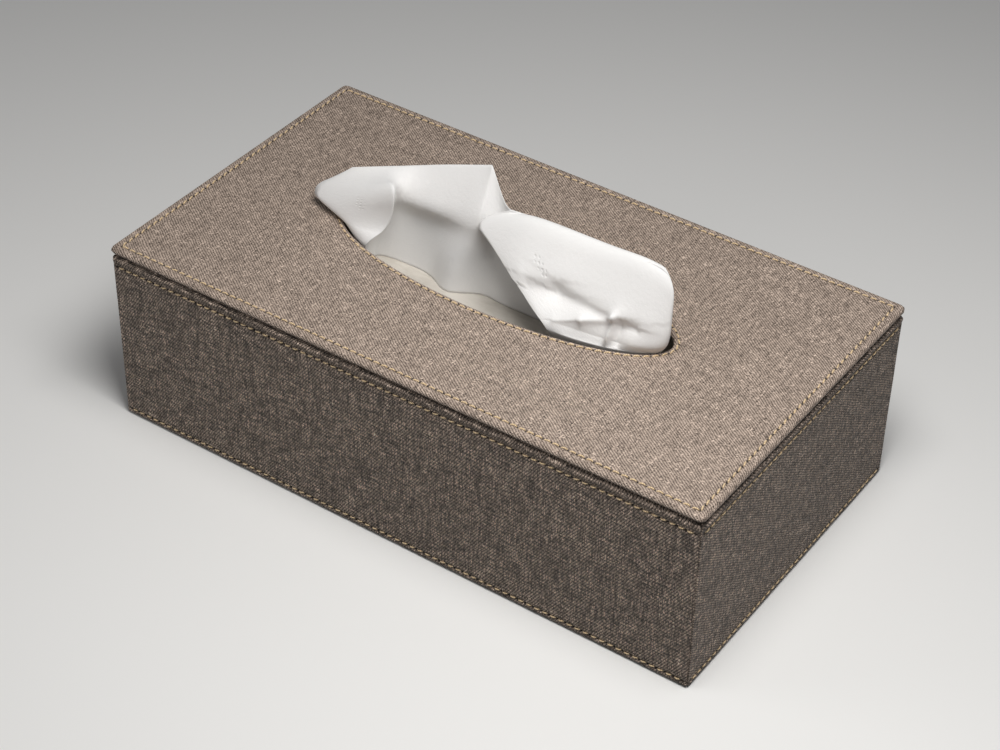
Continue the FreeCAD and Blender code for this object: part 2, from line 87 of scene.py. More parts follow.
def with_alpha(colour: Any) -> Any:
    """A colour of three values with its alpha added, and anything else as it is."""
    return (*colour, 1.0) if isinstance(colour, tuple) and len(colour) == 3 else colour


class Graph:
    """Short calls that add and wire the nodes of one node tree."""

    def __init__(self, tree: bpy.types.NodeTree) -> None:
        """Keep the tree.

        Args:
            tree: The material's or group's node tree.
        """
        self.tree = tree

    def node(self, kind: str, inputs: Optional[dict[Union[str, int], Any]] = None,
             **settings: Any) -> bpy.types.Node:
        """Add one node, set its options and fill or link its inputs.

        Args:
            kind: The node's type name.
            inputs: Values or sockets by the input's name or number.
            **settings: Options of the node.

        Returns:
            The new node.
        """
        made = self.tree.nodes.new(kind)
        for name, value in settings.items():
            setattr(made, name, value)
        for key, value in (inputs or {}).items():
            self.feed(made.inputs[key], value)
        return made

    def feed(self, socket: bpy.types.NodeSocket, value: Any) -> None:
        """Link a socket, or set its default value."""
        if isinstance(value, bpy.types.NodeSocket):
            self.tree.links.new(value, socket)
        else:
            socket.default_value = value

    def math(self, operation: str, first: Value, second: Value = 0.0,
             third: Value = 0.0) -> bpy.types.NodeSocket:
        """One arithmetic step.

        Args:
            operation: The Math node's operation.
            first: Its first input.
            second: Its second input.
            third: Its third input.

        Returns:
            The result's socket.
        """
        inputs = {0: first, 1: second, 2: third}
        return self.node("ShaderNodeMath", inputs, operation=operation).outputs[0]

    def spread(self, value: Value, low: float, high: float, to_low: float = 0.0, to_high: float = 1.0,
               smooth: bool = True) -> bpy.types.NodeSocket:
        """Map a range of values to another, clamped.

        Args:
            value: What is mapped.
            low: Start of the range.
            high: End of the range.
            to_low: Result at the start.
            to_high: Result at the end.
            smooth: Ease in and out.

        Returns:
            The mapped value's socket.
        """
        inputs = {0: value, 1: low, 2: high, 3: to_low, 4: to_high}
        kind = "SMOOTHSTEP" if smooth else "LINEAR"
        return self.node("ShaderNodeMapRange", inputs, interpolation_type=kind).outputs[0]

    def blend(self, factor: Value, first: Any, second: Any, mode: str = "MIX") -> bpy.types.NodeSocket:
        """Mix two colours.

        Args:
            factor: Share of the second colour.
            first: A colour or socket.
            second: A colour or socket.
            mode: The blend type.

        Returns:
            The mixed colour's socket.
        """
        inputs = {0: factor, 6: with_alpha(first), 7: with_alpha(second)}
        return self.node("ShaderNodeMix", inputs, data_type="RGBA", blend_type=mode).outputs[2]

    def mean(self, factor: Value, first: Value, second: Value) -> bpy.types.NodeSocket:
        """Mix two values."""
        return self.node("ShaderNodeMix", {0: factor, 2: first, 3: second}).outputs[0]

    def noise(self, vector: bpy.types.NodeSocket, scale: float, detail: float = 2.0,
              roughness: float = 0.5) -> bpy.types.NodeSocket:
        """A noise value at a place.

        Args:
            vector: The place.
            scale: Features per unit.
            detail: Number of finer layers.
            roughness: Weight of the finer layers.

        Returns:
            The value's socket, about 0.5 on average.
        """
        inputs = {"Vector": vector, "Scale": scale, "Detail": detail, "Roughness": roughness}
        return self.node("ShaderNodeTexNoise", inputs).outputs[0]

    def join(self, x: Value, y: Value, z: Value = 0.0) -> bpy.types.NodeSocket:
        """Three values as one vector."""
        return self.node("ShaderNodeCombineXYZ", {0: x, 1: y, 2: z}).outputs[0]

    def split(self, vector: bpy.types.NodeSocket) -> Sequence[bpy.types.NodeSocket]:
        """A vector's three values."""
        return list(self.node("ShaderNodeSeparateXYZ", {0: vector}).outputs)

    def scaled(self, vector: bpy.types.NodeSocket, scale: Sequence[float],
               turn: float = 0.0) -> bpy.types.NodeSocket:
        """A vector turned about Z and scaled along each axis.

        Args:
            vector: The vector.
            scale: Three factors.
            turn: Angle in radians.

        Returns:
            The mapped vector's socket.
        """
        inputs = {"Vector": vector, "Rotation": (0.0, 0.0, turn), "Scale": tuple(scale)}
        return self.node("ShaderNodeMapping", inputs).outputs[0]

    def emboss(self, shader: bpy.types.Node, strength: float, distance: float, height: Value) -> None:
        """Bump a shader's normal.

        Args:
            shader: The shader.
            strength: The bump's strength.
            distance: How high a height of one stands.
            height: The relief.
        """
        inputs = {"Strength": strength, "Distance": distance, "Height": height}
        self.feed(shader.inputs["Normal"], self.node("ShaderNodeBump", inputs).outputs[0])

    def group(self, tree: bpy.types.NodeTree, **inputs: Any) -> bpy.types.Node:
        """Place a node group.

        Args:
            tree: The group.
            **inputs: Its inputs by name, with underscores for spaces.

        Returns:
            The group's node.
        """
        made = self.tree.nodes.new("ShaderNodeGroup")
        made.node_tree = tree
        for name, value in inputs.items():
            self.feed(made.inputs[name.replace("_", " ")], value)
        return made


GroupParts = tuple[bpy.types.NodeTree, Graph, bpy.types.Node, bpy.types.Node]


def new_group(name: str, inputs: dict[str, str], outputs: dict[str, str]) -> GroupParts:
    """Start a shader node group with named sockets.

    Args:
        name: The group's name.
        inputs: Socket kinds by name.
        outputs: Socket kinds by name.

    Returns:
        The group, a graph on it, its input node and its output node.
    """
    tree = bpy.data.node_groups.new(name, "ShaderNodeTree")
    for in_out, sockets in (("INPUT", inputs), ("OUTPUT", outputs)):
        for label, kind in sockets.items():
            tree.interface.new_socket(label, in_out=in_out, socket_type=f"NodeSocket{kind}")
    graph = Graph(tree)
    return tree, graph, graph.node("NodeGroupInput"), graph.node("NodeGroupOutput")


@dataclass(frozen=True)
class Twill:
    """A twill of fine warp over coarse weft, for the leatherette's print and emboss and for the lining."""

    name: str = "Twill Weave"
    repeat: int = 3
    missed_above: float = 0.63
    drift_scale: float = 160.0
    drift_threads: float = 2.4
    drift_across: float = 0.4
    cell_steps: tuple[float, float, float] = (3.17, 4.73, 1.9)
    warp_step: float = 0.8
    weft_step: float = 0.9
    warp_layer: float = 3.7
    weft_layer: float = 9.1
    layers: float = 2.0
    roughness: float = 0.7

    def crown(self, g: Graph, place: Value, whole: Value) -> bpy.types.NodeSocket:
        """1 - 4aa, with a the offset from the thread's middle line."""
        off = g.math("SUBTRACT", g.math("SUBTRACT", place, whole), 0.5)
        return g.math("SUBTRACT", 1.0, g.math("MULTIPLY", g.math("MULTIPLY", off, off), 4.0))

    def group(self) -> bpy.types.NodeTree:
        """Make the node group once and return it each time.

        The place is counted in threads and drifts a little, as cloth does. Of every three crossings along a
        row the warp lies on top in two, and each row is shifted by one. Some crossings, picked by a noise, go
        the other way. With a and b the offsets from the two threads' middle lines, a thread on top is as high
        as (1 - 4aa)(0.5 + 0.5(1 - 4bb)). Rib is a cosine that rises once for each three threads, along the
        slant that the shift makes. A thread's shade changes slowly along it and quickly from one to the next.

        Returns:
            The group, with the outputs Warp, Height, Rib, Warp Shade, Weft Shade and Cell Shade.
        """
        found = bpy.data.node_groups.get(self.name)
        if found:
            return found
        tree, g, given, out = new_group(
            self.name, {"Vector": "Vector", "Warp Threads": "Float", "Weft Threads": "Float",
                        "Streak Length": "Float"},
            {"Warp": "Float", "Height": "Float", "Rib": "Float", "Warp Shade": "Float", "Weft Shade": "Float",
             "Cell Shade": "Float"})
        spot, slow = given.outputs["Vector"], given.outputs["Streak Length"]
        across, along = g.split(spot)[:2]
        drift = g.math("SUBTRACT", g.noise(spot, self.drift_scale, self.layers), 0.5)
        drift = g.math("MULTIPLY", drift, self.drift_threads)
        across = g.math("MULTIPLY_ADD", across, given.outputs["Warp Threads"],
                        g.math("MULTIPLY", drift, self.drift_across))
        along = g.math("MULTIPLY_ADD", along, given.outputs["Weft Threads"], drift)
        column, row = g.math("FLOOR", across), g.math("FLOOR", along)
        cell_x, cell_y, cell_z = self.cell_steps
        places = {
            "Warp Shade": g.join(g.math("MULTIPLY", column, self.warp_step), g.math("DIVIDE", along, slow),
                                 self.warp_layer),
            "Weft Shade": g.join(g.math("DIVIDE", across, slow), g.math("MULTIPLY", row, self.weft_step),
                                 self.weft_layer),
            "Cell Shade": g.join(g.math("MULTIPLY", column, cell_x), g.math("MULTIPLY", row, cell_y),
                                 cell_z)}
        for label, place in places.items():
            g.feed(out.inputs[label], g.noise(place, 1.0, self.layers, self.roughness))
        missed = g.math("GREATER_THAN", g.noise(places["Cell Shade"], 1.0, self.layers, self.roughness),
                        self.missed_above)
        crossing = g.math("FLOORED_MODULO", g.math("ADD", column, row), float(self.repeat))
        warp_over = g.math("LESS_THAN", crossing, self.repeat / 2)
        warp_over = g.math("ABSOLUTE", g.math("SUBTRACT", warp_over, missed))
        crowns = [self.crown(g, across, column), self.crown(g, along, row)]
        warp_up, weft_up = (g.math("MULTIPLY", crown, g.math("MULTIPLY_ADD", other, 0.5, 0.5))
                            for crown, other in (crowns, crowns[::-1]))
        slant = g.math("SUBTRACT", g.math("ADD", across, along), self.repeat / 2)
        turn = g.math("MULTIPLY", slant, math.tau / self.repeat)
        g.feed(out.inputs["Rib"], g.math("MULTIPLY_ADD", g.math("COSINE", turn), 0.5, 0.5))
        g.feed(out.inputs["Warp"], warp_over)
        g.feed(out.inputs["Height"], g.mean(warp_over, weft_up, warp_up))
        return tree


TWILL = Twill()


def mottle_group() -> bpy.types.NodeTree:
    """Slow and quick unevenness, for cloth, board, felt, paper and thread alike.

    Returns:
        The group, with the outputs Slow and Quick, each about 0 to 1.
    """
    found = bpy.data.node_groups.get("Mottle")
    if found:
        return found
    tree, g, given, out = new_group("Mottle", {"Vector": "Vector", "Scale": "Float"},
                                    {"Slow": "Float", "Quick": "Float"})
    place = g.node("ShaderNodeVectorMath", {0: given.outputs["Vector"], 3: given.outputs["Scale"]},
                   operation="SCALE").outputs[0]
    for label, noise in (("Slow", SLOW_NOISE), ("Quick", QUICK_NOISE)):
        g.feed(out.inputs[label], g.spread(g.noise(place, *noise), *NOISE_SPAN, smooth=False))
    return tree


# Finishes


class Place(Enum):
    """Where a finish reads its pattern's place."""

    OBJECT = "Object"
    SURFACE = "UV"


@dataclass(frozen=True)
class Finish:
    """What every finish of the box shares."""

    name: str
    slot: str
    place: Place = Place.OBJECT
    mottle: float = 28.0

    def material(self) -> bpy.types.Material:
        """Make the material once and return it each time."""
        found = bpy.data.materials.get(self.name)
        if found:
            return found
        made = bpy.data.materials.new(self.name)
        made.use_nodes = True
        made.node_tree.nodes.clear()
        graph = Graph(made.node_tree)
        shader = graph.node("ShaderNodeBsdfPrincipled")
        output = graph.node("ShaderNodeOutputMaterial")
        graph.feed(output.inputs["Surface"], shader.outputs[0])
        spot = graph.node("ShaderNodeTexCoord").outputs[self.place.value]
        self.wire(graph, shader, spot)
        return made

    def wire(self, graph: Graph, shader: bpy.types.Node, spot: bpy.types.NodeSocket) -> None:
        """Fill the shader. Each finish has its own."""
        raise NotImplementedError

    def uneven(self, graph: Graph, spot: bpy.types.NodeSocket) -> bpy.types.Node:
        """The mottle at this finish's scale."""
        return graph.group(mottle_group(), Vector=spot, Scale=self.mottle)

    def roughen(self, graph: Graph, shader: bpy.types.Node, uneven: bpy.types.Node, span: Span) -> None:
        """Let the roughness vary quickly from one value to another."""
        graph.feed(shader.inputs["Roughness"], graph.spread(uneven.outputs["Quick"], 0.0, 1.0, *span))

    def dress(self, piece: bpy.types.Object) -> None:
        """Give a piece this finish."""
        piece.data.materials.clear()
        piece.data.materials.append(self.material())


@dataclass(frozen=True)
class Leatherette(Finish):
    """Coated cloth with a printed and embossed linen weave."""

    place: Place = Place.SURFACE
    warp_pitch: float = 0.361 * MM
    weft_pitch: float = 0.529 * MM
    streak_threads: float = 14.0
    light: Colour = (0.850, 0.685, 0.570)
    middle: Colour = (0.320, 0.248, 0.200)
    dark: Colour = (0.036, 0.026, 0.020)
    # Painted shade: the near-black colour of the needle holes.
    hole: Colour = (0.008, 0.006, 0.005)
    emboss: float = 0.26 * MM
    rib: float = 1.0
    rib_shade: float = 0.6
    dip_below: float = 0.5
    dip_shade: float = 0.55
    hole_rough: float = 0.3
    thread_relief: float = 0.45
    grain_relief: float = 0.3
    streak: float = 0.12
    shine: float = 0.4
    shades: Span = (0.36, 0.64)
    cell_shades: Span = (0.36, 0.66)
    streak_shades: Span = (0.35, 0.65)
    roughness: Span = (0.44, 0.60)

    def colour(self, graph: Graph, weave: bpy.types.Node, warp: Value) -> bpy.types.NodeSocket:
        """Threads of many shades, light ones in long streaks, and darker where they dip.

        Args:
            graph: The material's graph.
            weave: The twill's node.
            warp: The shade of the warp.

        Returns:
            The colour before the needle holes.
        """
        fleck = graph.spread(weave.outputs["Cell Shade"], *self.cell_shades, smooth=False)
        weft = graph.spread(weave.outputs["Weft Shade"], *self.shades, smooth=False)
        warp_shade = graph.mean(0.5, graph.mean(0.5, warp, weft), fleck)
        warp_colour = graph.blend(warp_shade, self.middle, self.light)
        weft_colour = graph.blend(graph.mean(0.5, weft, fleck), self.dark, self.middle)
        colour = graph.blend(weave.outputs["Warp"], weft_colour, warp_colour)
        dip = graph.spread(weave.outputs["Height"], 0.0, self.dip_below, self.dip_shade, 0.0)
        colour = graph.blend(dip, colour, self.dark)
        reach = (*self.streak_shades, 1.0 - self.streak, 1.0 + self.streak)
        weft_streak, warp_streak = (graph.spread(weave.outputs[label], *reach, smooth=False)
                                    for label in ("Weft Shade", "Warp Shade"))
        streak = graph.math("MULTIPLY", weft_streak, warp_streak)
        return graph.blend(1.0, colour, graph.join(streak, streak, streak), "MULTIPLY")

    def wire(self, graph: Graph, shader: bpy.types.Node, spot: bpy.types.NodeSocket) -> None:
        """The woven print, with painted shade near black in the needle holes, and the emboss: threads, ribs
        and a fine grain.
        """
        weave = graph.group(TWILL.group(), Vector=spot, Warp_Threads=1.0 / self.warp_pitch,
                            Weft_Threads=1.0 / self.weft_pitch, Streak_Length=self.streak_threads)
        uneven = self.uneven(graph, spot)
        warp = graph.spread(weave.outputs["Warp Shade"], *self.shades, smooth=False)
        hole = graph.node("ShaderNodeAttribute", attribute_name="needle_hole").outputs["Fac"]
        # Painted shade: the needle holes' mask blends the print to near black.
        graph.feed(shader.inputs["Base Color"], graph.blend(hole, self.colour(graph, weave, warp), self.hole))
        rough = graph.spread(uneven.outputs["Quick"], 0.0, 1.0, *self.roughness, smooth=False)
        rough = graph.math("ADD", rough, graph.math("MULTIPLY", hole, self.hole_rough))
        graph.feed(shader.inputs["Roughness"], rough)
        rib = graph.math("MULTIPLY", weave.outputs["Rib"], graph.mean(self.rib_shade, self.rib, warp))
        raised = graph.math("MULTIPLY_ADD", weave.outputs["Height"], self.thread_relief, rib)
        raised = graph.math("MULTIPLY_ADD", uneven.outputs["Quick"], self.grain_relief, raised)
        graph.emboss(shader, 1.0, self.emboss, raised)
        graph.feed(shader.inputs["Specular IOR Level"], self.shine)


@dataclass(frozen=True)
class Thread(Finish):
    """Three-ply sewing thread, with its plies laid slantwise."""

    place: Place = Place.SURFACE
    mottle: float = 90.0
    light: Colour = (0.900, 0.710, 0.450)
    dark: Colour = (0.540, 0.375, 0.195)
    ply_pitch: float = 0.55 * MM
    bump: float = 0.9
    relief: float = 0.08 * MM
    roughness: Span = (0.42, 0.6)
    soil: Span = (0.0, 0.35)
    sheen: float = 0.3

    def wire(self, graph: Graph, shader: bpy.types.Node, spot: bpy.types.NodeSocket) -> None:
        """Bands across the thread: one turn of a ply for each pitch, with three plies round it."""
        along, round_it = graph.split(spot)[:2]
        turns = graph.math("ADD", graph.math("DIVIDE", along, self.ply_pitch), round_it)
        wave = graph.math("SINE", graph.math("MULTIPLY", turns, math.tau))
        ply = graph.spread(wave, -1.0, 0.6)
        uneven = self.uneven(graph, spot)
        colour = graph.blend(ply, self.dark, self.light)
        colour = graph.blend(graph.spread(uneven.outputs["Slow"], 0.2, 0.9, *self.soil), colour, self.dark)
        graph.feed(shader.inputs["Base Color"], colour)
        graph.emboss(shader, self.bump, self.relief, ply)
        self.roughen(graph, shader, uneven, self.roughness)
        graph.feed(shader.inputs["Sheen Weight"], self.sheen)


@dataclass(frozen=True)
class Cloth(Finish):
    """Thin woven lining cloth, glued down."""

    mottle: float = 20.0
    pitch: float = 0.4 * MM
    streak_threads: float = 14.0
    upright_shift: float = 0.37
    roughness: Span = (0.8, 0.95)
    bump: float = 0.5
    relief: float = 0.08 * MM
    light: Colour = (0.185, 0.158, 0.135)
    dark: Colour = (0.080, 0.066, 0.055)

    def wire(self, graph: Graph, shader: bpy.types.Node, spot: bpy.types.NodeSocket) -> None:
        """A finer and plainer weave than outside, read across both upright and level faces."""
        x, y, z = graph.split(spot)
        across = graph.math("ADD", x, graph.math("MULTIPLY", z, self.upright_shift))
        flat = graph.join(across, graph.math("ADD", y, z))
        weave = graph.group(TWILL.group(), Vector=flat, Warp_Threads=1.0 / self.pitch,
                            Weft_Threads=1.0 / self.pitch, Streak_Length=self.streak_threads)
        uneven = self.uneven(graph, spot)
        shade = graph.mean(weave.outputs["Warp"], weave.outputs["Weft Shade"], weave.outputs["Warp Shade"])
        mixed = graph.math("MULTIPLY", graph.math("ADD", shade, uneven.outputs["Slow"]), 0.5)
        graph.feed(shader.inputs["Base Color"], graph.blend(mixed, self.dark, self.light))
        self.roughen(graph, shader, uneven, self.roughness)
        graph.emboss(shader, self.bump, self.relief, weave.outputs["Height"])


@dataclass(frozen=True)
class Fibrous(Finish):
    """Board, felt or paper: fibres on a plain ground."""

    mottle: float = 35.0
    light: Colour = (0.5, 0.45, 0.38)
    dark: Colour = (0.35, 0.31, 0.26)
    fibre: float = 900.0
    rough: float = 0.85
    rough_step: float = 0.06
    bump: float = 0.6
    relief: float = 0.1 * MM
    drawn_out: tuple[float, float, float] = (0.35, 1.0, 1.0)
    turn: float = 0.4

    def wire(self, graph: Graph, shader: bpy.types.Node, spot: bpy.types.NodeSocket) -> None:
        """Fibres are noise drawn out along X, over a slow change of shade."""
        uneven = self.uneven(graph, spot)
        fibres = graph.noise(graph.scaled(spot, self.drawn_out, self.turn), self.fibre, 3.0, 0.7)
        mixed = graph.mean(0.45, fibres, uneven.outputs["Slow"])
        mixed = graph.spread(mixed, *NOISE_SPAN)
        graph.feed(shader.inputs["Base Color"], graph.blend(mixed, self.dark, self.light))
        rough = (self.rough - self.rough_step, min(1.0, self.rough + self.rough_step))
        self.roughen(graph, shader, uneven, rough)
        graph.emboss(shader, self.bump, self.relief, fibres)


@dataclass(frozen=True)
class Tissue(Finish):
    """Soft two-ply tissue: white, dull and a little see-through, with a fine crepe."""

    place: Place = Place.SURFACE
    mottle: float = 60.0
    white: Colour = (0.93, 0.925, 0.918)
    shade: Colour = (0.90, 0.893, 0.883)
    crepe: float = 0.09 * MM
    crepe_lines: float = 1500.0
    drawn_out: tuple[float, float, float] = (1.0, 0.3, 1.0)
    roughness: Span = (0.82, 0.95)
    bump: float = 0.5
    bond_pitch: float = 1.25 * MM
    bond_dot: Span = (0.14, 0.34)
    bond_depth: float = 5.0
    see_through: float = 0.3
    see_depth: float = 0.8 * MM
    sheen: float = 0.15

    def wire(self, graph: Graph, shader: bpy.types.Node, spot: bpy.types.NodeSocket) -> None:
        """Crepe lines run across the sheet, and the press that joins the plies leaves dots near its edge."""
        uneven = self.uneven(graph, spot)
        crepe = graph.noise(graph.scaled(spot, self.drawn_out), self.crepe_lines, 3.0, 0.6)
        graph.feed(shader.inputs["Base Color"], graph.blend(uneven.outputs["Slow"], self.shade, self.white))
        self.roughen(graph, shader, uneven, self.roughness)
        bond = graph.node("ShaderNodeAttribute", attribute_name="ply_bond").outputs["Fac"]
        across, along = graph.split(spot)[:2]
        off = [graph.math("SUBTRACT", graph.math("FRACT", graph.math("DIVIDE", way, self.bond_pitch)), 0.5)
               for way in (across, along)]
        away = graph.math("SQRT", graph.math("ADD", *(graph.math("MULTIPLY", way, way) for way in off)))
        pits = graph.math("MULTIPLY", graph.spread(away, *self.bond_dot, self.bond_depth, 0.0), bond)
        height = graph.math("SUBTRACT", graph.math("ADD", crepe, uneven.outputs["Quick"]), pits)
        graph.emboss(shader, self.bump, self.crepe, height)
        graph.feed(shader.inputs["Subsurface Weight"], self.see_through)
        graph.feed(shader.inputs["Subsurface Radius"], (1.0, 1.0, 1.0))
        graph.feed(shader.inputs["Subsurface Scale"], self.see_depth)
        graph.feed(shader.inputs["Sheen Weight"], self.sheen)


LEATHERETTE = Leatherette("woven_leatherette", "leatherette")
# Painted shade: the walls' copy of the leatherette is darker and has more contrast, for raking light on the
# relief.
SHADED_WALL_LEATHERETTE = Leatherette("wall_leatherette_painted_shade", "leatherette", light=(0.96, 0.77, 0.635),
                               middle=(0.205, 0.152, 0.120), dark=(0.012, 0.009, 0.007),
                               emboss=0.42 * MM, streak=0.5)
THREAD = Thread("golden_thread", "thread")
LINING = Cloth("lining_cloth", "lining")
BOARD = Fibrous("greyboard", "board", light=(0.36, 0.33, 0.29), dark=(0.22, 0.20, 0.17), fibre=700.0)
FELT = Fibrous("base_felt", "felt", light=(0.075, 0.065, 0.058), dark=(0.030, 0.026, 0.023), fibre=1400.0,
               rough=0.94, relief=0.25 * MM)
# Painted shade: the stack is the same white tissue, dimmed to grey-beige for the shade deep in the box.
SHADED_FOLDED_TISSUE = Fibrous("folded_tissue_painted_shade", "tissue", light=(0.62, 0.585, 0.53), dark=(0.52, 0.485, 0.43), fibre=500.0,
                 rough=0.93, relief=0.05 * MM)
TISSUE = Tissue("drawn_tissue_paper", "tissue")


# Meshes from grids of points


@dataclass
class Grid:
    """Points in rows and columns, with the place of each in its pattern."""

    points: Array
    pattern: Array
    closed_across: bool = False
    closed_along: bool = False
    masks: dict[str, Array] = field(default_factory=dict)

    def faces(self) -> NDArray[np.int64]:
        """Four corners for each cell. Corner numbers are column times row count plus row.

        Returns:
            One row of four numbers for each face.
        """
        columns, rows = self.points.shape[:2]
        here = np.arange(columns if self.closed_across else columns - 1)[:, None]
        step = np.arange(rows if self.closed_along else rows - 1)[None, :]
        there, above = (here + 1) % columns, (step + 1) % rows
        corners = [here * rows + step, there * rows + step, there * rows + above, here * rows + above]
        return np.stack(np.broadcast_arrays(*corners), -1).reshape(-1, 4)

    def piece(self, name: str, extra_faces: Optional[NDArray[np.int64]] = None) -> bpy.types.Object:
        """Make the mesh object.

        Args:
            name: The piece's name.
            extra_faces: More faces of four corners, such as end caps.

        Returns:
            The object, at the origin.
        """
        faces = self.faces() if extra_faces is None else np.concatenate([self.faces(), extra_faces])
        masks = {label: mask.reshape(-1) for label, mask in self.masks.items()}
        return mesh_piece(name, self.points.reshape(-1, 3), faces, self.pattern.reshape(-1, 2), masks)


def mesh_piece(name: str, points: Array, faces: NDArray[np.int64], pattern: Array,
               masks: dict[str, Array]) -> bpy.types.Object:
    """Put arrays of points and four-sided faces into a mesh whose faces point outwards.

    The signed volume of the fans from the origin tells which way the faces point.

    Args:
        name: The piece's name.
        points: One row of three for each vertex.
        faces: One row of four corners for each face.
        pattern: One row of two for each vertex, its place in the pattern.
        masks: Values for each vertex by name.

    Returns:
        The object, at the origin.
    """
    a, b, c, d = (points[faces[:, i]] for i in range(4))
    volume = (a * (np.cross(b, c) + np.cross(c, d))).sum()
    if volume < 0:
        faces = faces[:, ::-1]
    mesh = bpy.data.meshes.new(name)
    mesh.vertices.add(len(points))
    mesh.vertices.foreach_set("co", points.astype(np.float32).ravel())
    mesh.loops.add(faces.size)
    mesh.loops.foreach_set("vertex_index", faces.astype(np.int32).ravel())
    mesh.polygons.add(len(faces))
    mesh.polygons.foreach_set("loop_start", np.arange(0, faces.size, 4, dtype=np.int32))
    mesh.update(calc_edges=True)
    mesh.validate()
    layer = mesh.uv_layers.new(name="Pattern")
    corner = np.empty(len(mesh.loops), np.int32)
    mesh.loops.foreach_get("vertex_index", corner)
    layer.uv.foreach_set("vector", pattern[corner].astype(np.float32).ravel())
    for label, values in masks.items():
        mesh.attributes.new(label, "FLOAT", "POINT").data.foreach_set("value", values.astype(np.float32))
    mesh.shade_smooth()
    made = bpy.data.objects.new(name, mesh)
    bpy.context.scene.collection.objects.link(made)
    return made


def weld(piece: bpy.types.Object) -> None:
    """Merge points that lie at one place, which also drops the faces that they close up."""
    work = bmesh.new()
    work.from_mesh(piece.data)
    bmesh.ops.remove_doubles(work, verts=work.verts, dist=ONE_PLACE)
    work.to_mesh(piece.data)
    work.free()


def arc(centre: Sequence[float], radius: float, start: float, end: float, steps: int) -> Array:
    """Points and outward normals on a round corner: centre plus radius times (cosine, sine).

    Args:
        centre: The corner's centre.
        radius: Its radius.
        start: First angle in degrees.
        end: Last angle in degrees.
        steps: Number of points.

    Returns:
        One row of x, y, normal x, normal y for each point.
    """
    angles = np.radians(np.linspace(start, end, steps))
    normals = np.stack([np.cos(angles), np.sin(angles)], -1)
    return np.concatenate([np.asarray(centre) + radius * normals, normals], -1)


def run(start: Sequence[float], end: Sequence[float], shares: Iterable[float],
        normal: Sequence[float]) -> Array:
    """Points at given shares of a straight line, all with one normal."""
    shares = np.asarray(list(shares))[:, None]
    points = np.asarray(start) * (1 - shares) + np.asarray(end) * shares
    return np.concatenate([points, np.tile(np.asarray(normal, float), (len(points), 1))], -1)


def around_row(middle: float, width: float = 0.45 * MM) -> list[float]:
    """Places across a stitched row where the surface needs points."""
    return [middle + width * share for share in ROW_SHARES]


def travelled(line: Array) -> Array:
    """Length of a flat line from its start to each of its points."""
    return np.concatenate([[0.0], np.cumsum(np.hypot(*np.diff(line, axis=0).T))])


def nearest(places: Array, holes: Array) -> Array:
    """Distance from each place along a row to the nearest needle hole, as one column."""
    return np.abs(places[:, None] - holes[None, :]).min(1)[:, None]


def lifted(places: Array, heights: Array) -> Array:
    """Places on the level with their heights added as the third value."""
    heights = np.broadcast_to(heights, places.shape[:2])
    return np.concatenate([places, heights[..., None]], -1)


def end_faces(columns: int, rows: int) -> NDArray[np.int64]:
    """Faces that close both ends of a sheet whose rows run out along one side and back along the other.

    Args:
        columns: Number of columns in the sheet's grid.
        rows: Number of rows, half of them on each side.

    Returns:
        One row of four corner numbers for each face.
    """
    step = np.arange(rows // 2 - 1)
    ends = []
    for first, flip in ((0, 1), ((columns - 1) * rows, -1)):
        corners = [first + step, first + step + 1, first + rows - 2 - step, first + rows - 1 - step]
        ends.append(np.stack(corners[::flip], -1))
    return np.concatenate(ends)


def wander(x: Array, y: Array, seed: int, size: float) -> Array:
    """Slow unevenness of a covered surface: the mean of a few waves in seeded directions.

    Args:
        x: First place.
        y: Second place.
        seed: Fixes the waves.
        size: Height of the unevenness.

    Returns:
        One height for each place.
    """
    draw = np.random.default_rng(seed)
    total = np.zeros(np.broadcast(x, y).shape)
    for _ in range(WAVES):
        length = draw.uniform(18 * MM, 70 * MM)
        angle = draw.uniform(0, math.pi)
        shift = draw.uniform(0, math.tau)
        total = total + np.sin((x * math.cos(angle) + y * math.sin(angle)) * math.tau / length + shift)
    return total * size / WAVES


# Stitching


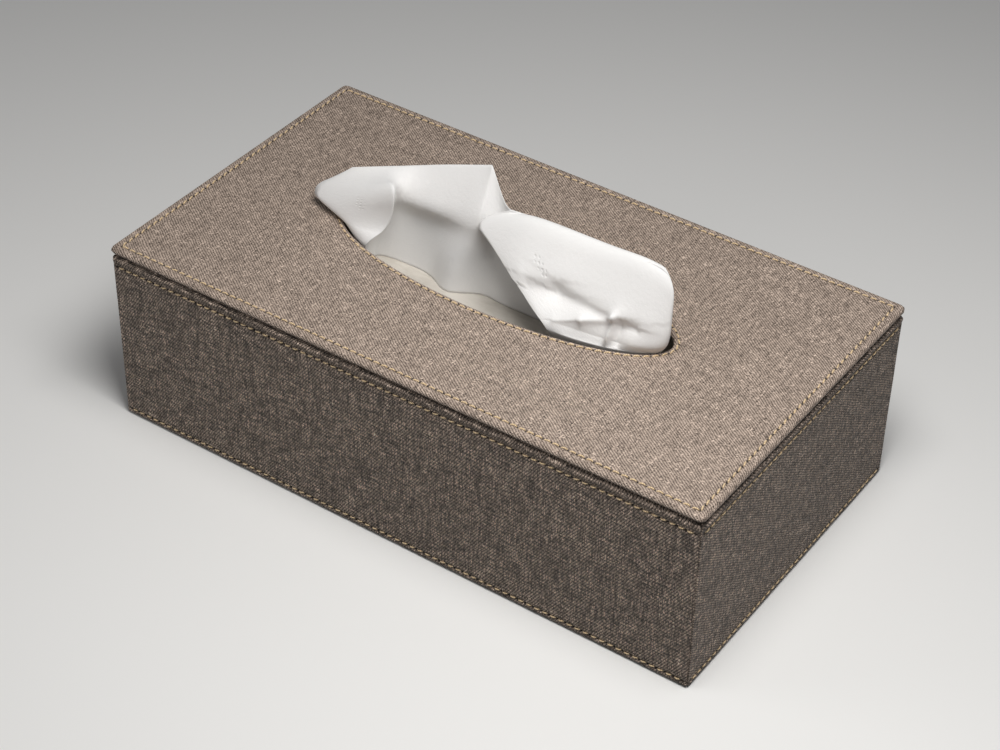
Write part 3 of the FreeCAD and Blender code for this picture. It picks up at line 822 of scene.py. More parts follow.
@dataclass(frozen=True)
class Stitching:
    """Sizes of a row of lock stitches."""

    pitch: float = 3.33 * MM
    thread: float = 0.70 * MM
    rise: float = 0.20 * MM
    sink: float = 0.42 * MM
    slant: float = 0.24 * MM
    hole_radius: float = 0.44 * MM
    groove_depth: float = 0.24 * MM
    groove_width: float = 0.55 * MM
    hole_depth: float = 0.34 * MM
    hole_gap: float = 0.92 * MM
    hole_edge: float = 0.26 * MM
    slack: float = 0.35
    shoulder: float = 0.07 * MM
    shoulder_off: float = 1.25 * MM
    shoulder_width: float = 0.6 * MM
    lift_power: float = 3.2
    seat_share: float = 0.55
    past_end: float = 0.6 * MM
    on_stitch: Span = (0.36, 0.64)
    mask_gain: float = 1.5
    mask_width: float = 1.1
    mask_floor: float = 0.15
    lift_spread: float = 0.03 * MM
    slant_spread: Span = (0.6, 1.3)
    size_spread: Span = (0.92, 1.08)
    taper: float = 0.22
    flat: float = 0.8
    rings: int = 8
    sides: int = 6

    @property
    def seat(self) -> float:
        """How far below the surface the holes' line lies."""
        return self.groove_depth * self.seat_share

    def columns(self, length: float, count: int) -> Array:
        """Places along a row where the surface needs points: three at each hole and two on each stitch.

        Args:
            length: The row's length.
            count: Number of stitches.

        Returns:
            The places from 0 to the length.
        """
        step = length / count
        shares = np.array([0.0, self.hole_edge / step, *self.on_stitch, 1 - self.hole_edge / step])
        places = (np.arange(count)[:, None] + shares).ravel() * step
        return np.append(places, length)

    def pull(self, off_row: Array, off_hole: Array) -> tuple[Array, Array]:
        """How far a row pulls the surface in, and how much of a place is hole.

        The groove is a bell across the row, shallower half way between two holes. Each hole is a narrower
        bell, and a low shoulder stands along each side of the groove.

        Args:
            off_row: Distance from the row's middle line.
            off_hole: Distance along the row from the nearest hole.

        Returns:
            The depth and the hole mask.
        """
        bell = np.exp(-((off_row / self.groove_width) ** 2))
        half = self.pitch / 2
        slack = self.slack * np.sin(np.clip(np.abs(off_hole) / half, 0, 1) * math.pi / 2) ** 2
        away = np.hypot(off_row, off_hole)
        pit = np.exp(-((away / self.hole_radius) ** 2))
        off_shoulder = (np.abs(off_row) - self.shoulder_off) / self.shoulder_width
        shoulder = self.shoulder * np.exp(-(off_shoulder ** 2))
        depth = self.groove_depth * bell * (1 - slack) + self.hole_depth * pit - shoulder
        mask = self.mask_gain * np.exp(-((away / (self.mask_width * self.hole_radius)) ** 2))
        return depth, np.clip(mask - self.mask_floor, 0, 1)

    def row(self, name: str, starts: Array, ends: Array, up: Array, seed: int) -> bpy.types.Object:
        """All the stitches of a row, each a slanted thread that rises from one hole and dips into the next.

        The middle line goes from hole to hole, lifted by 1 - |2t - 1| to the lift's power and moved sideways
        by the slant times (1 - 2t). Each section is an ellipse about that line.

        Args:
            name: The piece's name.
            starts: Each stitch's first hole on the surface.
            ends: Each stitch's second hole.
            up: The surface's outward normal at each stitch.
            seed: Fixes the small differences between stitches.

        Returns:
            The row as one piece.
        """
        draw = np.random.default_rng(seed)
        count = len(starts)
        along = ends - starts
        length = np.linalg.norm(along, axis=1, keepdims=True)
        along = along / length
        side = np.cross(along, up)
        share = np.linspace(0, 1, self.rings)
        lift = -self.sink + (self.sink + self.rise) * (1 - np.abs(2 * share - 1) ** self.lift_power)
        lift = lift[None, :, None] + draw.uniform(-self.lift_spread, self.lift_spread, (count, 1, 1))
        slant = self.slant * draw.uniform(*self.slant_spread, (count, 1, 1)) * (1 - 2 * share)[None, :, None]
        reach = self.hole_gap / 2 + share[None, :, None] * (length[:, None] - self.hole_gap)
        middle = starts[:, None] + along[:, None] * reach + up[:, None] * lift + side[:, None] * slant
        size = self.thread / 2 * (1 - self.taper + self.taper * np.sin(math.pi * share))[None, :, None]
        size = size * draw.uniform(*self.size_spread, (count, 1, 1))
        angles = np.linspace(0, math.tau, self.sides, endpoint=False)
        tangent = np.gradient(middle, axis=1)
        tangent /= np.linalg.norm(tangent, axis=2, keepdims=True)
        across = np.broadcast_to(side[:, None], tangent.shape)
        over = np.cross(across, tangent)
        ring = (np.cos(angles)[:, None] * across[:, :, None]
                + self.flat * np.sin(angles)[:, None] * over[:, :, None])
        points = middle[:, :, None] + ring * size[..., None]
        travel = reach + np.arange(count)[:, None, None] * self.pitch
        pattern = np.stack(np.broadcast_arrays(travel, (angles / math.tau)[None, None, :]), -1)
        made = mesh_piece(name, points.reshape(-1, 3), self.faces(count), pattern.reshape(-1, 2), {})
        THREAD.dress(made)
        return made

    def faces(self, count: int) -> NDArray[np.int64]:
        """The sides of every stitch, ring by ring, and the caps at its two ends.

        Args:
            count: Number of stitches.

        Returns:
            One row of four corner numbers for each face.
        """
        base = np.arange(count)[:, None, None] * self.rings * self.sides
        here = base + np.arange(self.rings - 1)[None, :, None] * self.sides
        there = here + self.sides
        j = np.arange(self.sides)[None, None, :]
        k = (j + 1) % self.sides
        quads = np.stack(np.broadcast_arrays(here + j, here + k, there + k, there + j), -1).reshape(-1, 4)
        caps = []
        for ring_number in (0, self.rings - 1):
            first = base[:, 0, 0] + ring_number * self.sides
            for j0 in range(1, self.sides - 2, 2):
                corner = [first, first + j0, first + j0 + 1, first + j0 + 2]
                corner = corner if ring_number else corner[::-1]
                caps.append(np.stack(corner, -1))
        return np.concatenate([quads, *caps])


STITCHING = Stitching()


# The box


@dataclass
class Wrapping:
    """Sizes of the leatherette and the pieces that it wraps, with the outer ones read from the frame."""

    skin: float = 0.7 * MM
    wall_thick: float = 4.4 * MM
    wall_turn_in: float = 15.0 * MM
    rim_radius: float = 1.9 * MM
    rim_roll: float = 0.5 * MM
    roll_drop: float = 1.7 * MM
    roll_width: float = 1.2 * MM
    crease_drop: float = 2.1
    crease_width: float = 0.3 * MM
    crease_share: float = 0.4
    foot_radius: float = 1.0 * MM
    corner_seam: float = 0.1 * MM
    seam_radius: float = 0.28 * MM
    lid_edge_radius: float = 1.4 * MM
    lid_undercut: float = 0.7 * MM
    lid_corner_radius: float = 2.2 * MM
    corner_reach: float = 0.3 * MM
    lid_turn_in: float = 12.0 * MM
    slot_turn_in: float = 9.0 * MM
    top_row_drop: float = 4.7 * MM
    foot_row_rise: float = 2.3 * MM
    row_end: float = 2.5 * MM
    lid_row_inset: float = 3.4 * MM
    slot_row_offset: float = 2.0 * MM
    slot_half_length: float = 70.0 * MM
    slot_half_width: float = 21.2 * MM

    def __post_init__(self) -> None:
        """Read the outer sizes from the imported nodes."""
        low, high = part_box("lid_cover")
        self.lid_length, self.lid_width = high.x - low.x, high.y - low.y
        self.lid_under, self.top = low.z, high.z
        low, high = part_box("front_cover")
        self.foot, self.rim = low.z, high.z
        self.body_width = -2 * low.y
        self.body_length = 2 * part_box("right_cover")[1].x


class Side(Enum):
    """The four walls, with each one's turn about Z in quarter turns and whether it has an upper row."""

    FRONT = ("front", 0, True)
    RIGHT = ("right", 1, True)
    BACK = ("back", 2, False)
    LEFT = ("left", 3, True)

    def __init__(self, label: str, quarter: int, upper_row: bool) -> None:
        """Keep the wall's facts.

        Args:
            label: Its name in the frame.
            quarter: Quarter turns from the front wall.
            upper_row: Whether a row of stitches runs below its rim.
        """
        self.label = label
        self.quarter = quarter
        self.upper_row = upper_row


@dataclass
class Wall:
    """One wall's leatherette and stitching, drawn along X with its outer face at Y = 0, then stood up."""

    side: Side
    wrapping: Wrapping
    face_rows: int = 14
    face_from: float = 6 * MM
    face_to: float = 8 * MM
    rim_from: float = 7 * MM
    uneven: float = 0.10 * MM
    pattern_start: float = 0.13
    pattern_step: float = 0.31
    seed: int = 11
    row_seed: int = 41
    row_seed_step: int = 7

    def __post_init__(self) -> None:
        """Work out the wall's span and rows."""
        w = self.wrapping
        even = self.side.quarter % 2 == 0
        self.span = w.body_length if even else w.body_width
        self.out = (w.body_width if even else w.body_length) / 2
        self.half = self.span / 2 - w.corner_seam
        self.row_half = self.span / 2 - w.row_end
        self.count = round(2 * self.row_half / STITCHING.pitch)
        rows = [w.foot + w.foot_row_rise]
        if self.side.upper_row:
            rows.append(w.rim - w.top_row_drop)
        self.rows = rows

    def stand(self, points: Array) -> Array:
        """Turn points about Z by the wall's quarter turns, after moving them out to the wall."""
        x, y, z = points[..., 0], points[..., 1] - self.out, points[..., 2]
        for _ in range(self.side.quarter):
            x, y = -y, x
        return np.stack([x, y, z], -1)

    def outline(self) -> Array:
        """Outer line of the wrap in depth and height, from under the foot, up the face and over the rim.

        Returns:
            One row of depth, height and the outward normal for each point.
        """
        w = self.wrapping
        inner = w.wall_thick - w.skin
        rim_centre = w.rim - w.rim_radius
        face_low = w.foot + w.foot_radius
        places = [z for row in self.rows for z in around_row(row)]
        places += list(np.linspace(w.foot + self.face_from, w.rim - self.face_to, self.face_rows))
        rim_rows = self.face_rows if self.side.upper_row else 3
        places += list(np.linspace(w.rim - self.rim_from, w.rim - w.rim_radius, rim_rows))
        places = sorted(z for z in places if face_low < z < rim_centre)
        shares = [(z - face_low) / (rim_centre - face_low) for z in places]
        return np.concatenate([
            run((inner, w.foot), (w.foot_radius, w.foot), (0, 0.5), (0, -1)),
            arc((w.foot_radius, face_low), w.foot_radius, 270, 180, 6),
            run((0, face_low), (0, rim_centre), shares, (-1, 0)),
            arc((w.rim_radius, rim_centre), w.rim_radius, 180, 90, 8),
            arc((w.wall_thick - w.rim_radius, rim_centre), w.rim_radius, 90, 0, 7),
            run((w.wall_thick, rim_centre), (w.wall_thick, w.rim - w.wall_turn_in), (0.3, 0.7, 1), (1, 0)),
        ])

    def along(self) -> tuple[Array, Array, Array]:
        """Columns along the wall, with the seam's rounding at both ends.

        The rounding at an end is an arc of the seam's radius that meets the mitre square: place = start plus
        radius times the sine of the angle, dip = radius times one less its cosine, to 135 degrees.

        Returns:
            Places on the outer face, their dip, and places on the inner side.
        """
        radius = self.wrapping.seam_radius
        angles = np.radians(np.linspace(0, 135, 5))
        start = self.half - radius * (1 + math.sqrt(2))
        bend = start + radius * np.sin(angles)
        dip = radius * (1 - np.cos(angles))
        flat = np.linspace(start, self.half, 5)
        row = STITCHING.columns(2 * self.row_half, self.count) - self.row_half
        outer = np.concatenate([-bend[::-1], row, bend])
        inner = np.concatenate([-flat[::-1], row, flat])
        dips = np.concatenate([dip[::-1], np.zeros(len(row)), dip])
        return outer, dips, inner

    def cover(self) -> bpy.types.Object:
        """The leatherette as one closed sheet folded round its board.

        A point is the outline's point at its height, moved out or in along the normal, at a place along the
        wall that shrinks with depth so that the ends are mitred.

        Returns:
            The dressed piece.
        """
        w = self.wrapping
        line = self.outline()
        x_out, dip, x_in = self.along()
        depth, height = line[None, :, 0], line[None, :, 1]
        normal = line[:, 2:]
        face = (normal[:, 0] < -0.999)[None, :]
        holes = np.linspace(-self.row_half, self.row_half, self.count + 1)
        off_hole = nearest(x_out, holes)
        seed = self.seed + self.side.quarter
        inward = dip[:, None] + wander(x_out[:, None], height, seed, self.uneven) * face
        hole = np.zeros(inward.shape)
        fade = (np.abs(x_out) < self.row_half + STITCHING.past_end)[:, None]
        for row in self.rows:
            pull, mask = STITCHING.pull(height - row, off_hole)
            inward = inward + pull * face * fade
            hole = np.maximum(hole, mask * face * fade)
        if self.side.upper_row:
            roll = np.exp(-(((height - w.rim + w.roll_drop) / w.roll_width) ** 2))
            roll = roll * np.clip(-normal[:, 0], 0, 1)
            crease = np.exp(-(((height - w.rim + w.crease_drop * w.roll_drop) / w.crease_width) ** 2)) * face
            end = np.clip((self.half - np.abs(x_out)) / w.roll_width, 0, 1)[:, None]
            inward = inward + (w.crease_share * crease - roll) * w.rim_roll * end
        along = x_out[:, None] * (1 - depth / self.half)
        outer = np.stack([along, depth - normal[:, 0] * inward, height - normal[:, 1] * inward], -1)
        inner_line = line[:, :2] - w.skin * normal
        inner_along = x_in[:, None] * (1 - inner_line[None, :, 0] / self.half)
        inner = np.stack(np.broadcast_arrays(inner_along, inner_line[None, :, 0], inner_line[None, :, 1]), -1)
        points = np.concatenate([outer, inner[:, ::-1]], 1)
        travel = travelled(line[:, :2])
        travel = np.concatenate([travel, travel[::-1]]) + self.pattern_step * self.side.quarter
        level, upright = x_out[:, None] + self.pattern_start, travel[None, :]
        even = self.side.quarter % 2 == 0
        pattern = np.stack(np.broadcast_arrays(*((level, -upright) if even else (upright, level))), -1)
        masks = {"needle_hole": np.concatenate([hole, np.zeros(hole.shape)], 1)}
        grid = Grid(self.stand(points), pattern, closed_along=True, masks=masks)
        made = grid.piece(f"{self.side.label}_leatherette", end_faces(*points.shape[:2]))
        # Painted shade: the walls take the darker, higher-contrast copy of the leatherette.
        SHADED_WALL_LEATHERETTE.dress(made)
        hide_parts(f"{self.side.label}_cover")
        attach(made, "box")
        return made

    def stitches(self) -> list[bpy.types.Object]:
        """One piece of stitches for each row on the wall."""
        made = []
        levels = ("foot", "top")
        holes = np.linspace(-self.row_half, self.row_half, self.count + 1)
        for level, height in zip(levels, self.rows):
            depth = np.full(len(holes), STITCHING.seat)
            line = self.stand(np.stack([holes, depth, np.full(len(holes), height)], -1))
            up = self.stand(np.array([[0.0, -1.0, 0.0]])) - self.stand(np.zeros((1, 3)))
            up = np.tile(up, (self.count, 1))
            piece = STITCHING.row(f"{self.side.label}_{level}_stitches", line[:-1], line[1:], up,
                                  self.row_seed + self.row_seed_step * self.side.quarter + len(made))
            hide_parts(f"{self.side.label}_{level}_thread")
            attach(piece, "box")
            made.append(piece)
        return made


@dataclass
class Lid:
    """The lid's leatherette, wrapped round its outer edge and its slot, and the rows along both."""

    wrapping: Wrapping
    hole_pull: float = 1.6
    bridge_steps: int = 13
    uneven: float = 0.12 * MM
    seed: int = 5
    edge_seed: int = 71
    slot_seed: int = 72

    def __post_init__(self) -> None:
        """Lay out the columns round the lid."""
        w = self.wrapping
        self.row_x = w.lid_length / 2 - w.lid_row_inset
        self.row_y = w.lid_width / 2 - w.lid_row_inset
        self.slot_row_a = w.slot_half_length + w.slot_row_offset
        self.slot_row_b = w.slot_half_width + w.slot_row_offset
        self.counts = [round(2 * half / STITCHING.pitch) for half in (self.row_x, self.row_y)]
        self.sides, self.shares = self.outer_columns()
        self.turns, self.slot_count, self.slot_off = self.slot_columns()

    def outer_columns(self) -> tuple[Array, Array]:
        """Each column's side, 0 to 3 from the front, and its place along that side's row from -1 to 1.

        A side's last column would be the next side's first, so it is left to that side.

        Returns:
            The sides and the places.
        """
        sides, shares = [], []
        for side in range(4):
            half = (self.row_x, self.row_y)[side % 2]
            places = STITCHING.columns(2 * half, self.counts[side % 2])[:-1]
            sides.append(np.full(len(places), side))
            shares.append(places / half - 1)
        return np.concatenate(sides), np.concatenate(shares)

    def ring(self, inset: Array) -> tuple[Array, Array]:
        """Points of a rounded rectangle inside the lid's outline, and the outward normals there.

        The place along a side is its share of the side's straight length. The columns at a side's ends turn
        half way round the corner, where they meet their neighbours.

        Args:
            inset: Distances from the lid's outline, one for each ring.

        Returns:
            Places and normals, columns by rings.
        """
        w = self.wrapping
        radius = np.maximum(w.lid_corner_radius - inset, SMALLEST_RADIUS)[None, :]
        far = inset[None, :]
        share, side = self.shares[:, None], self.sides
        half_x, half_y = w.lid_length / 2 - far, w.lid_width / 2 - far
        long_side = (side % 2 == 0)[:, None]
        straight = np.where(long_side, half_x, half_y) - radius
        out = np.where(long_side, half_y, half_x)
        row_half = np.where(long_side, self.row_x, self.row_y)
        near_end = np.clip((np.abs(share) * row_half - row_half + w.corner_reach) / w.corner_reach, 0, 1)
        angle = near_end * math.pi / 4 * np.sign(share)
        place = share * straight + radius * np.sin(angle)
        depth = out - radius * (1 - np.cos(angle))
        normal_place, normal_out = np.sin(angle), np.cos(angle)
        place, depth, normal_place, normal_out = np.broadcast_arrays(place, depth, normal_place, normal_out)
        turn = (side * math.pi / 2)[:, None]
        cos, sin = np.round(np.cos(turn)), np.round(np.sin(turn))
        points = np.stack([place * cos + depth * sin, place * sin - depth * cos], -1)
        normals = np.stack([normal_place * cos + normal_out * sin, normal_place * sin - normal_out * cos], -1)
        return points, normals

    def slot_columns(self) -> tuple[Array, int, Array]:
        """The slot's angle at each column, laid so that columns fall on the slot's needle holes.

        Arc length round the row is read from a fine table of the ellipse. The columns are dealt out to the
        stitches in order, and within a stitch they keep to its holes and their edges.

        Returns:
            Angles at the columns, the number of stitches and each column's distance from the nearest hole.
        """
        fine, length = self.slot_table()
        total = length[-1]
        count = round(total / STITCHING.pitch)
        step = total / count
        points = self.ring(np.array([self.wrapping.lid_row_inset]))[0]
        wanted = np.unwrap(np.arctan2(points[:, 0, 1] / self.wrapping.lid_width,
                                      points[:, 0, 0] / self.wrapping.lid_length))
        place = np.interp(np.mod(wanted, math.tau), fine, length)
        place = np.unwrap(place, period=total)
        near = np.round(place / step)
        off = place - near * step
        shape = np.abs(off) / (step / 2)
        pulled = np.sign(off) * step / 2 * shape ** self.hole_pull
        settled = near * step + pulled
        angles = np.interp(np.mod(settled, total), length, fine)
        return angles, count, np.abs(pulled)

    def slot_line(self, angles: Array) -> Array:
        """Points of the row round the slot at given angles of its ellipse."""
        return np.stack([self.slot_row_a * np.cos(angles), self.slot_row_b * np.sin(angles)], -1)

    def slot_table(self) -> tuple[Array, Array]:
        """Fine steps of angle round the slot's row, and the length up to each."""
        fine = np.linspace(0, math.tau, ELLIPSE_STEPS)
        return fine, travelled(self.slot_line(fine))

    def slot_ring(self, offset: Array) -> tuple[Array, Array]:
        """Points of an ellipse grown from the slot's, and the normals towards the slot's middle.

        Args:
            offset: How far each ring's half sizes are beyond the slot's.

        Returns:
            Places and normals, columns by rings.
        """
        w = self.wrapping
        a = w.slot_half_length + offset[None, :]
        b = w.slot_half_width + offset[None, :]
        cos, sin = np.cos(self.turns)[:, None], np.sin(self.turns)[:, None]
        points = np.stack([a * cos, b * sin], -1)
        inward = -np.stack([b * cos, a * sin], -1)
        return points, inward / np.linalg.norm(inward, axis=-1, keepdims=True)

    def edge_line(self, steps: int, radius: float) -> Array:
        """Half of a section, from the turn-in's end, round the edge and onto the top.

        Args:
            steps: Points on each rounding.
            radius: The rounding.

        Returns:
            One row of distance in, height and normal for each point. A normal's first part points in.
        """
        w = self.wrapping
        low, high = w.lid_under + radius, w.top - radius
        line = np.concatenate([
            arc((radius, low), radius, 270, 180, steps),
            arc((radius, high), radius, 180, 90, steps),
        ])
        line[:steps, 0] += w.lid_undercut * (low - line[:steps, 1]) / radius
        return line

    def cover(self) -> bpy.types.Object:
        """The lid's leatherette as one closed sheet: a section carried round from the outer edge to the slot.

        Rings near the outer edge follow its outline and rings near the slot follow the ellipse. Between the
        two rows a point goes straight from one to the other.

        Returns:
            The dressed piece.
        """
        w = self.wrapping
        radius, skin = w.lid_edge_radius, w.skin
        edge = self.edge_line(6, radius)
        outer_insets = [x for x in around_row(w.lid_row_inset) if x > radius]
        slot_offsets = [x for x in around_row(w.slot_row_offset) if x > radius][::-1]

        edge_places, edge_normals = self.ring(np.maximum(edge[:, 0], 0))
        flat_places, flat_normals = self.ring(np.array(outer_insets))
        slot_flat, slot_flat_in = self.slot_ring(np.array(slot_offsets))
        slot_edge, slot_edge_in = self.slot_ring(edge[::-1, 0])
        under_out, under_out_n = self.ring(np.array([w.lid_turn_in, w.lid_turn_in * 0.5]))
        under_in, under_in_n = self.slot_ring(np.array([w.slot_turn_in * 0.5, w.slot_turn_in]))

        bridge = np.linspace(0, 1, self.bridge_steps)[1:-1][None, :, None]
        field_places = flat_places[:, -1:] * (1 - bridge) + slot_flat[:, :1] * bridge

        pull_out, mask_out = STITCHING.pull(np.array(outer_insets)[None, :] - w.lid_row_inset,
                                            self.off_outer_hole()[:, None])
        pull_in, mask_in = STITCHING.pull(np.array(slot_offsets)[None, :] - w.slot_row_offset,
                                          self.slot_off[:, None])

        outside = np.concatenate([
            lifted(under_out, np.full((1, 2), w.lid_under)),
            lifted(edge_places, edge[None, :, 1]),
            lifted(flat_places, w.top - pull_out),
            lifted(field_places, np.full((1, 1), w.top)),
            lifted(slot_flat, w.top - pull_in),
            lifted(slot_edge, edge[None, ::-1, 1]),
            lifted(under_in, np.full((1, 2), w.lid_under)),
        ], 1)
        first = 2 + len(edge)
        last = outside.shape[1] - first
        top = outside[:, first:last]
        top[..., 2] += wander(top[..., 0], top[..., 1], self.seed, self.uneven)

        inner_radius = radius - skin
        inner_edge = self.edge_line(3, inner_radius)
        inner_edge[:, 0] += skin
        below = inner_edge[:, 1] < (w.lid_under + w.top) / 2
        inner_edge[:, 1] = np.where(below, w.lid_under + skin, w.top - skin)
        inside = np.concatenate([
            lifted(self.slot_ring(np.array([w.slot_turn_in]))[0], np.full((1, 1), w.lid_under + skin)),
            lifted(self.slot_ring(inner_edge[:, 0])[0], inner_edge[None, :, 1]),
            lifted(self.ring(inner_edge[:, 0])[0][:, ::-1], inner_edge[None, ::-1, 1]),
            lifted(self.ring(np.array([w.lid_turn_in]))[0], np.full((1, 1), w.lid_under + skin)),
        ], 1)
        points = np.concatenate([outside, inside], 1)

        normals = np.concatenate([
            under_out_n, edge_normals, flat_normals, np.zeros(field_places.shape), slot_flat_in, slot_edge_in,
            under_in_n], 1)
        beyond = self.beyond_flat(edge, radius)
        travel = np.zeros(outside.shape[1])
        travel[2:first] = beyond
        travel[last:-2] = beyond[::-1]
        pattern_out = outside[..., :2] + normals * travel[None, :, None]
        pattern = np.concatenate([pattern_out, inside[..., :2]], 1)[..., ::-1]
        hole = np.zeros(points.shape[:2])
        hole[:, first:first + mask_out.shape[1]] = mask_out
        hole[:, last - mask_in.shape[1]:last] = mask_in
        log.info("lid grid %d by %d", *points.shape[:2])
        made = Grid(points, pattern, True, True, {"needle_hole": hole}).piece("lid_leatherette")
        LEATHERETTE.dress(made)
        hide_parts("lid_cover")
        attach(made, "lid")
        return made

    def beyond_flat(self, edge: Array, radius: float) -> Array:
        """Length of the surface from the flat top down to each point of the rounded edge."""
        total = travelled(edge[:, :2])
        return total[-1] - total + edge[:, 0] - radius

    def off_outer_hole(self) -> Array:
        """Distance along its row from each column to the nearest needle hole."""
        half = np.where(self.sides % 2 == 0, self.row_x, self.row_y)
        count = np.where(self.sides % 2 == 0, self.counts[0], self.counts[1])
        step = 2 * half / count
        place = (self.shares + 1) * half
        return np.abs(place - np.round(place / step) * step)

    def stitches(self) -> list[bpy.types.Object]:
        """The row round the lid's edge and the row round the slot."""
        w = self.wrapping
        level = w.top - STITCHING.seat
        corners = [(-1, -1), (1, -1), (1, 1), (-1, 1)]
        starts, ends = [], []
        for side, (x, y) in enumerate(corners):
            there_x, there_y = corners[(side + 1) % 4]
            count = self.counts[side % 2]
            share = np.linspace(0, 1, count + 1)[:, None]
            here = np.array([x * self.row_x, y * self.row_y, level])
            there = np.array([there_x * self.row_x, there_y * self.row_y, level])
            line = here * (1 - share) + there * share
            starts.append(line[:-1])
            ends.append(line[1:])
        edge_row = self.finished("lid_edge", np.concatenate(starts), np.concatenate(ends), self.edge_seed)
        fine, length = self.slot_table()
        angles = np.interp(np.linspace(0, length[-1], self.slot_count + 1), length, fine)
        line = np.column_stack([self.slot_line(angles), np.full(len(angles), level)])
        return [edge_row, self.finished("slot", line[:-1], line[1:], self.slot_seed)]

    def finished(self, label: str, starts: Array, ends: Array, seed: int) -> bpy.types.Object:
        """One row of the lid, riding on it."""
        up = np.tile(np.array([[0.0, 0.0, 1.0]]), (len(starts), 1))
        piece = STITCHING.row(f"{label}_stitches", starts, ends, up, seed)
        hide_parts(f"{label}_thread")
        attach(piece, "lid")
        return piece


@dataclass
class Hinge:
    """The leatherette strip behind the lid, bent over the rim, and its row of stitches."""

    wrapping: Wrapping
    strip: float = 0.6 * MM
    bend: float = 1.5 * MM
    row_drop: float = 14.0 * MM
    row_end: float = 2.5 * MM
    end_step: float = 0.8 * MM
    pull_share: float = 0.8
    pattern_start: float = 1.7
    seed: int = 91

    def build(self) -> list[bpy.types.Object]:
        """Make the strip and its stitches.

        The strip is its side view, in depth and height, carried along X. The view goes up the outside, over
        the bend and in under the lid, and comes back along the inner side.

        Returns:
            The two pieces.
        """
        w = self.wrapping
        low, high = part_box("hinge_strip")
        outer, top, reach, foot = high.y, high.z, low.y, low.z
        half = high.x
        level = w.rim - self.row_drop
        row_half = half - self.row_end
        count = round(2 * row_half / STITCHING.pitch)
        inner_bend = self.bend - self.strip
        face = sorted([z for z in around_row(level)] + list(np.linspace(foot, top - self.bend, 10)))
        outside = np.concatenate([
            np.stack([np.full(len(face), outer), face, np.ones(len(face)), np.zeros(len(face))], -1),
            arc((outer - self.bend, top - self.bend), self.bend, 0, 90, 10)[1:],
            run((outer - self.bend, top), (reach, top), (0.15, 0.5, 1), (0, 1)),
        ])
        x = STITCHING.columns(2 * row_half, count) - row_half
        x = np.concatenate([[-half, -half + self.end_step], x, [half - self.end_step, half]])
        holes = np.linspace(-row_half, row_half, count + 1)
        off_hole = nearest(x, holes)
        inside_row = (np.abs(x) < row_half + STITCHING.past_end)[:, None]
        on_face = (outside[:, 2] > 0.999)[None, :]
        pull, mask = STITCHING.pull(outside[None, :, 1] - level, off_hole)
        pull = np.clip(pull, 0, self.strip * self.pull_share) * on_face * inside_row
        depth, height = outside[None, :, 0], outside[None, :, 1]
        front = np.stack(np.broadcast_arrays(x[:, None], depth - pull, height), -1)
        back_line = outside[:, :2] - self.strip * outside[:, 2:]
        arc_rows = (outside[:, 2] < 0.999) & (outside[:, 3] < 0.999)
        centre = np.array([outer - self.bend, top - self.bend])
        back_line[arc_rows] = centre + inner_bend * outside[arc_rows, 2:]
        back = np.stack(np.broadcast_arrays(x[:, None], back_line[None, :, 0], back_line[None, :, 1]), -1)
        points = np.concatenate([front, back[:, ::-1]], 1)
        travel = travelled(outside[:, :2])
        travel = np.concatenate([travel, travel[::-1]]) + self.pattern_start
        pattern = np.stack(np.broadcast_arrays(x[:, None], -travel[None, :]), -1)
        hole = mask * on_face * inside_row
        masks = {"needle_hole": np.concatenate([hole, np.zeros(hole.shape)], 1)}
        grid = Grid(points, pattern, closed_along=True, masks=masks)
        strip = grid.piece("hinge_leatherette", end_faces(*points.shape[:2]))
        LEATHERETTE.dress(strip)
        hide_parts("hinge_strip")
        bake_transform(strip)
        surface = outer - STITCHING.seat
        line = np.stack([holes[::-1], np.full(count + 1, surface), np.full(count + 1, level)], -1)
        up = np.tile(np.array([[0.0, 1.0, 0.0]]), (count, 1))
        row = STITCHING.row("hinge_stitches", line[:-1], line[1:], up, self.seed)
        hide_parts("hinge_thread")
        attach(row, "box")
        return [strip, row]


# The tissues


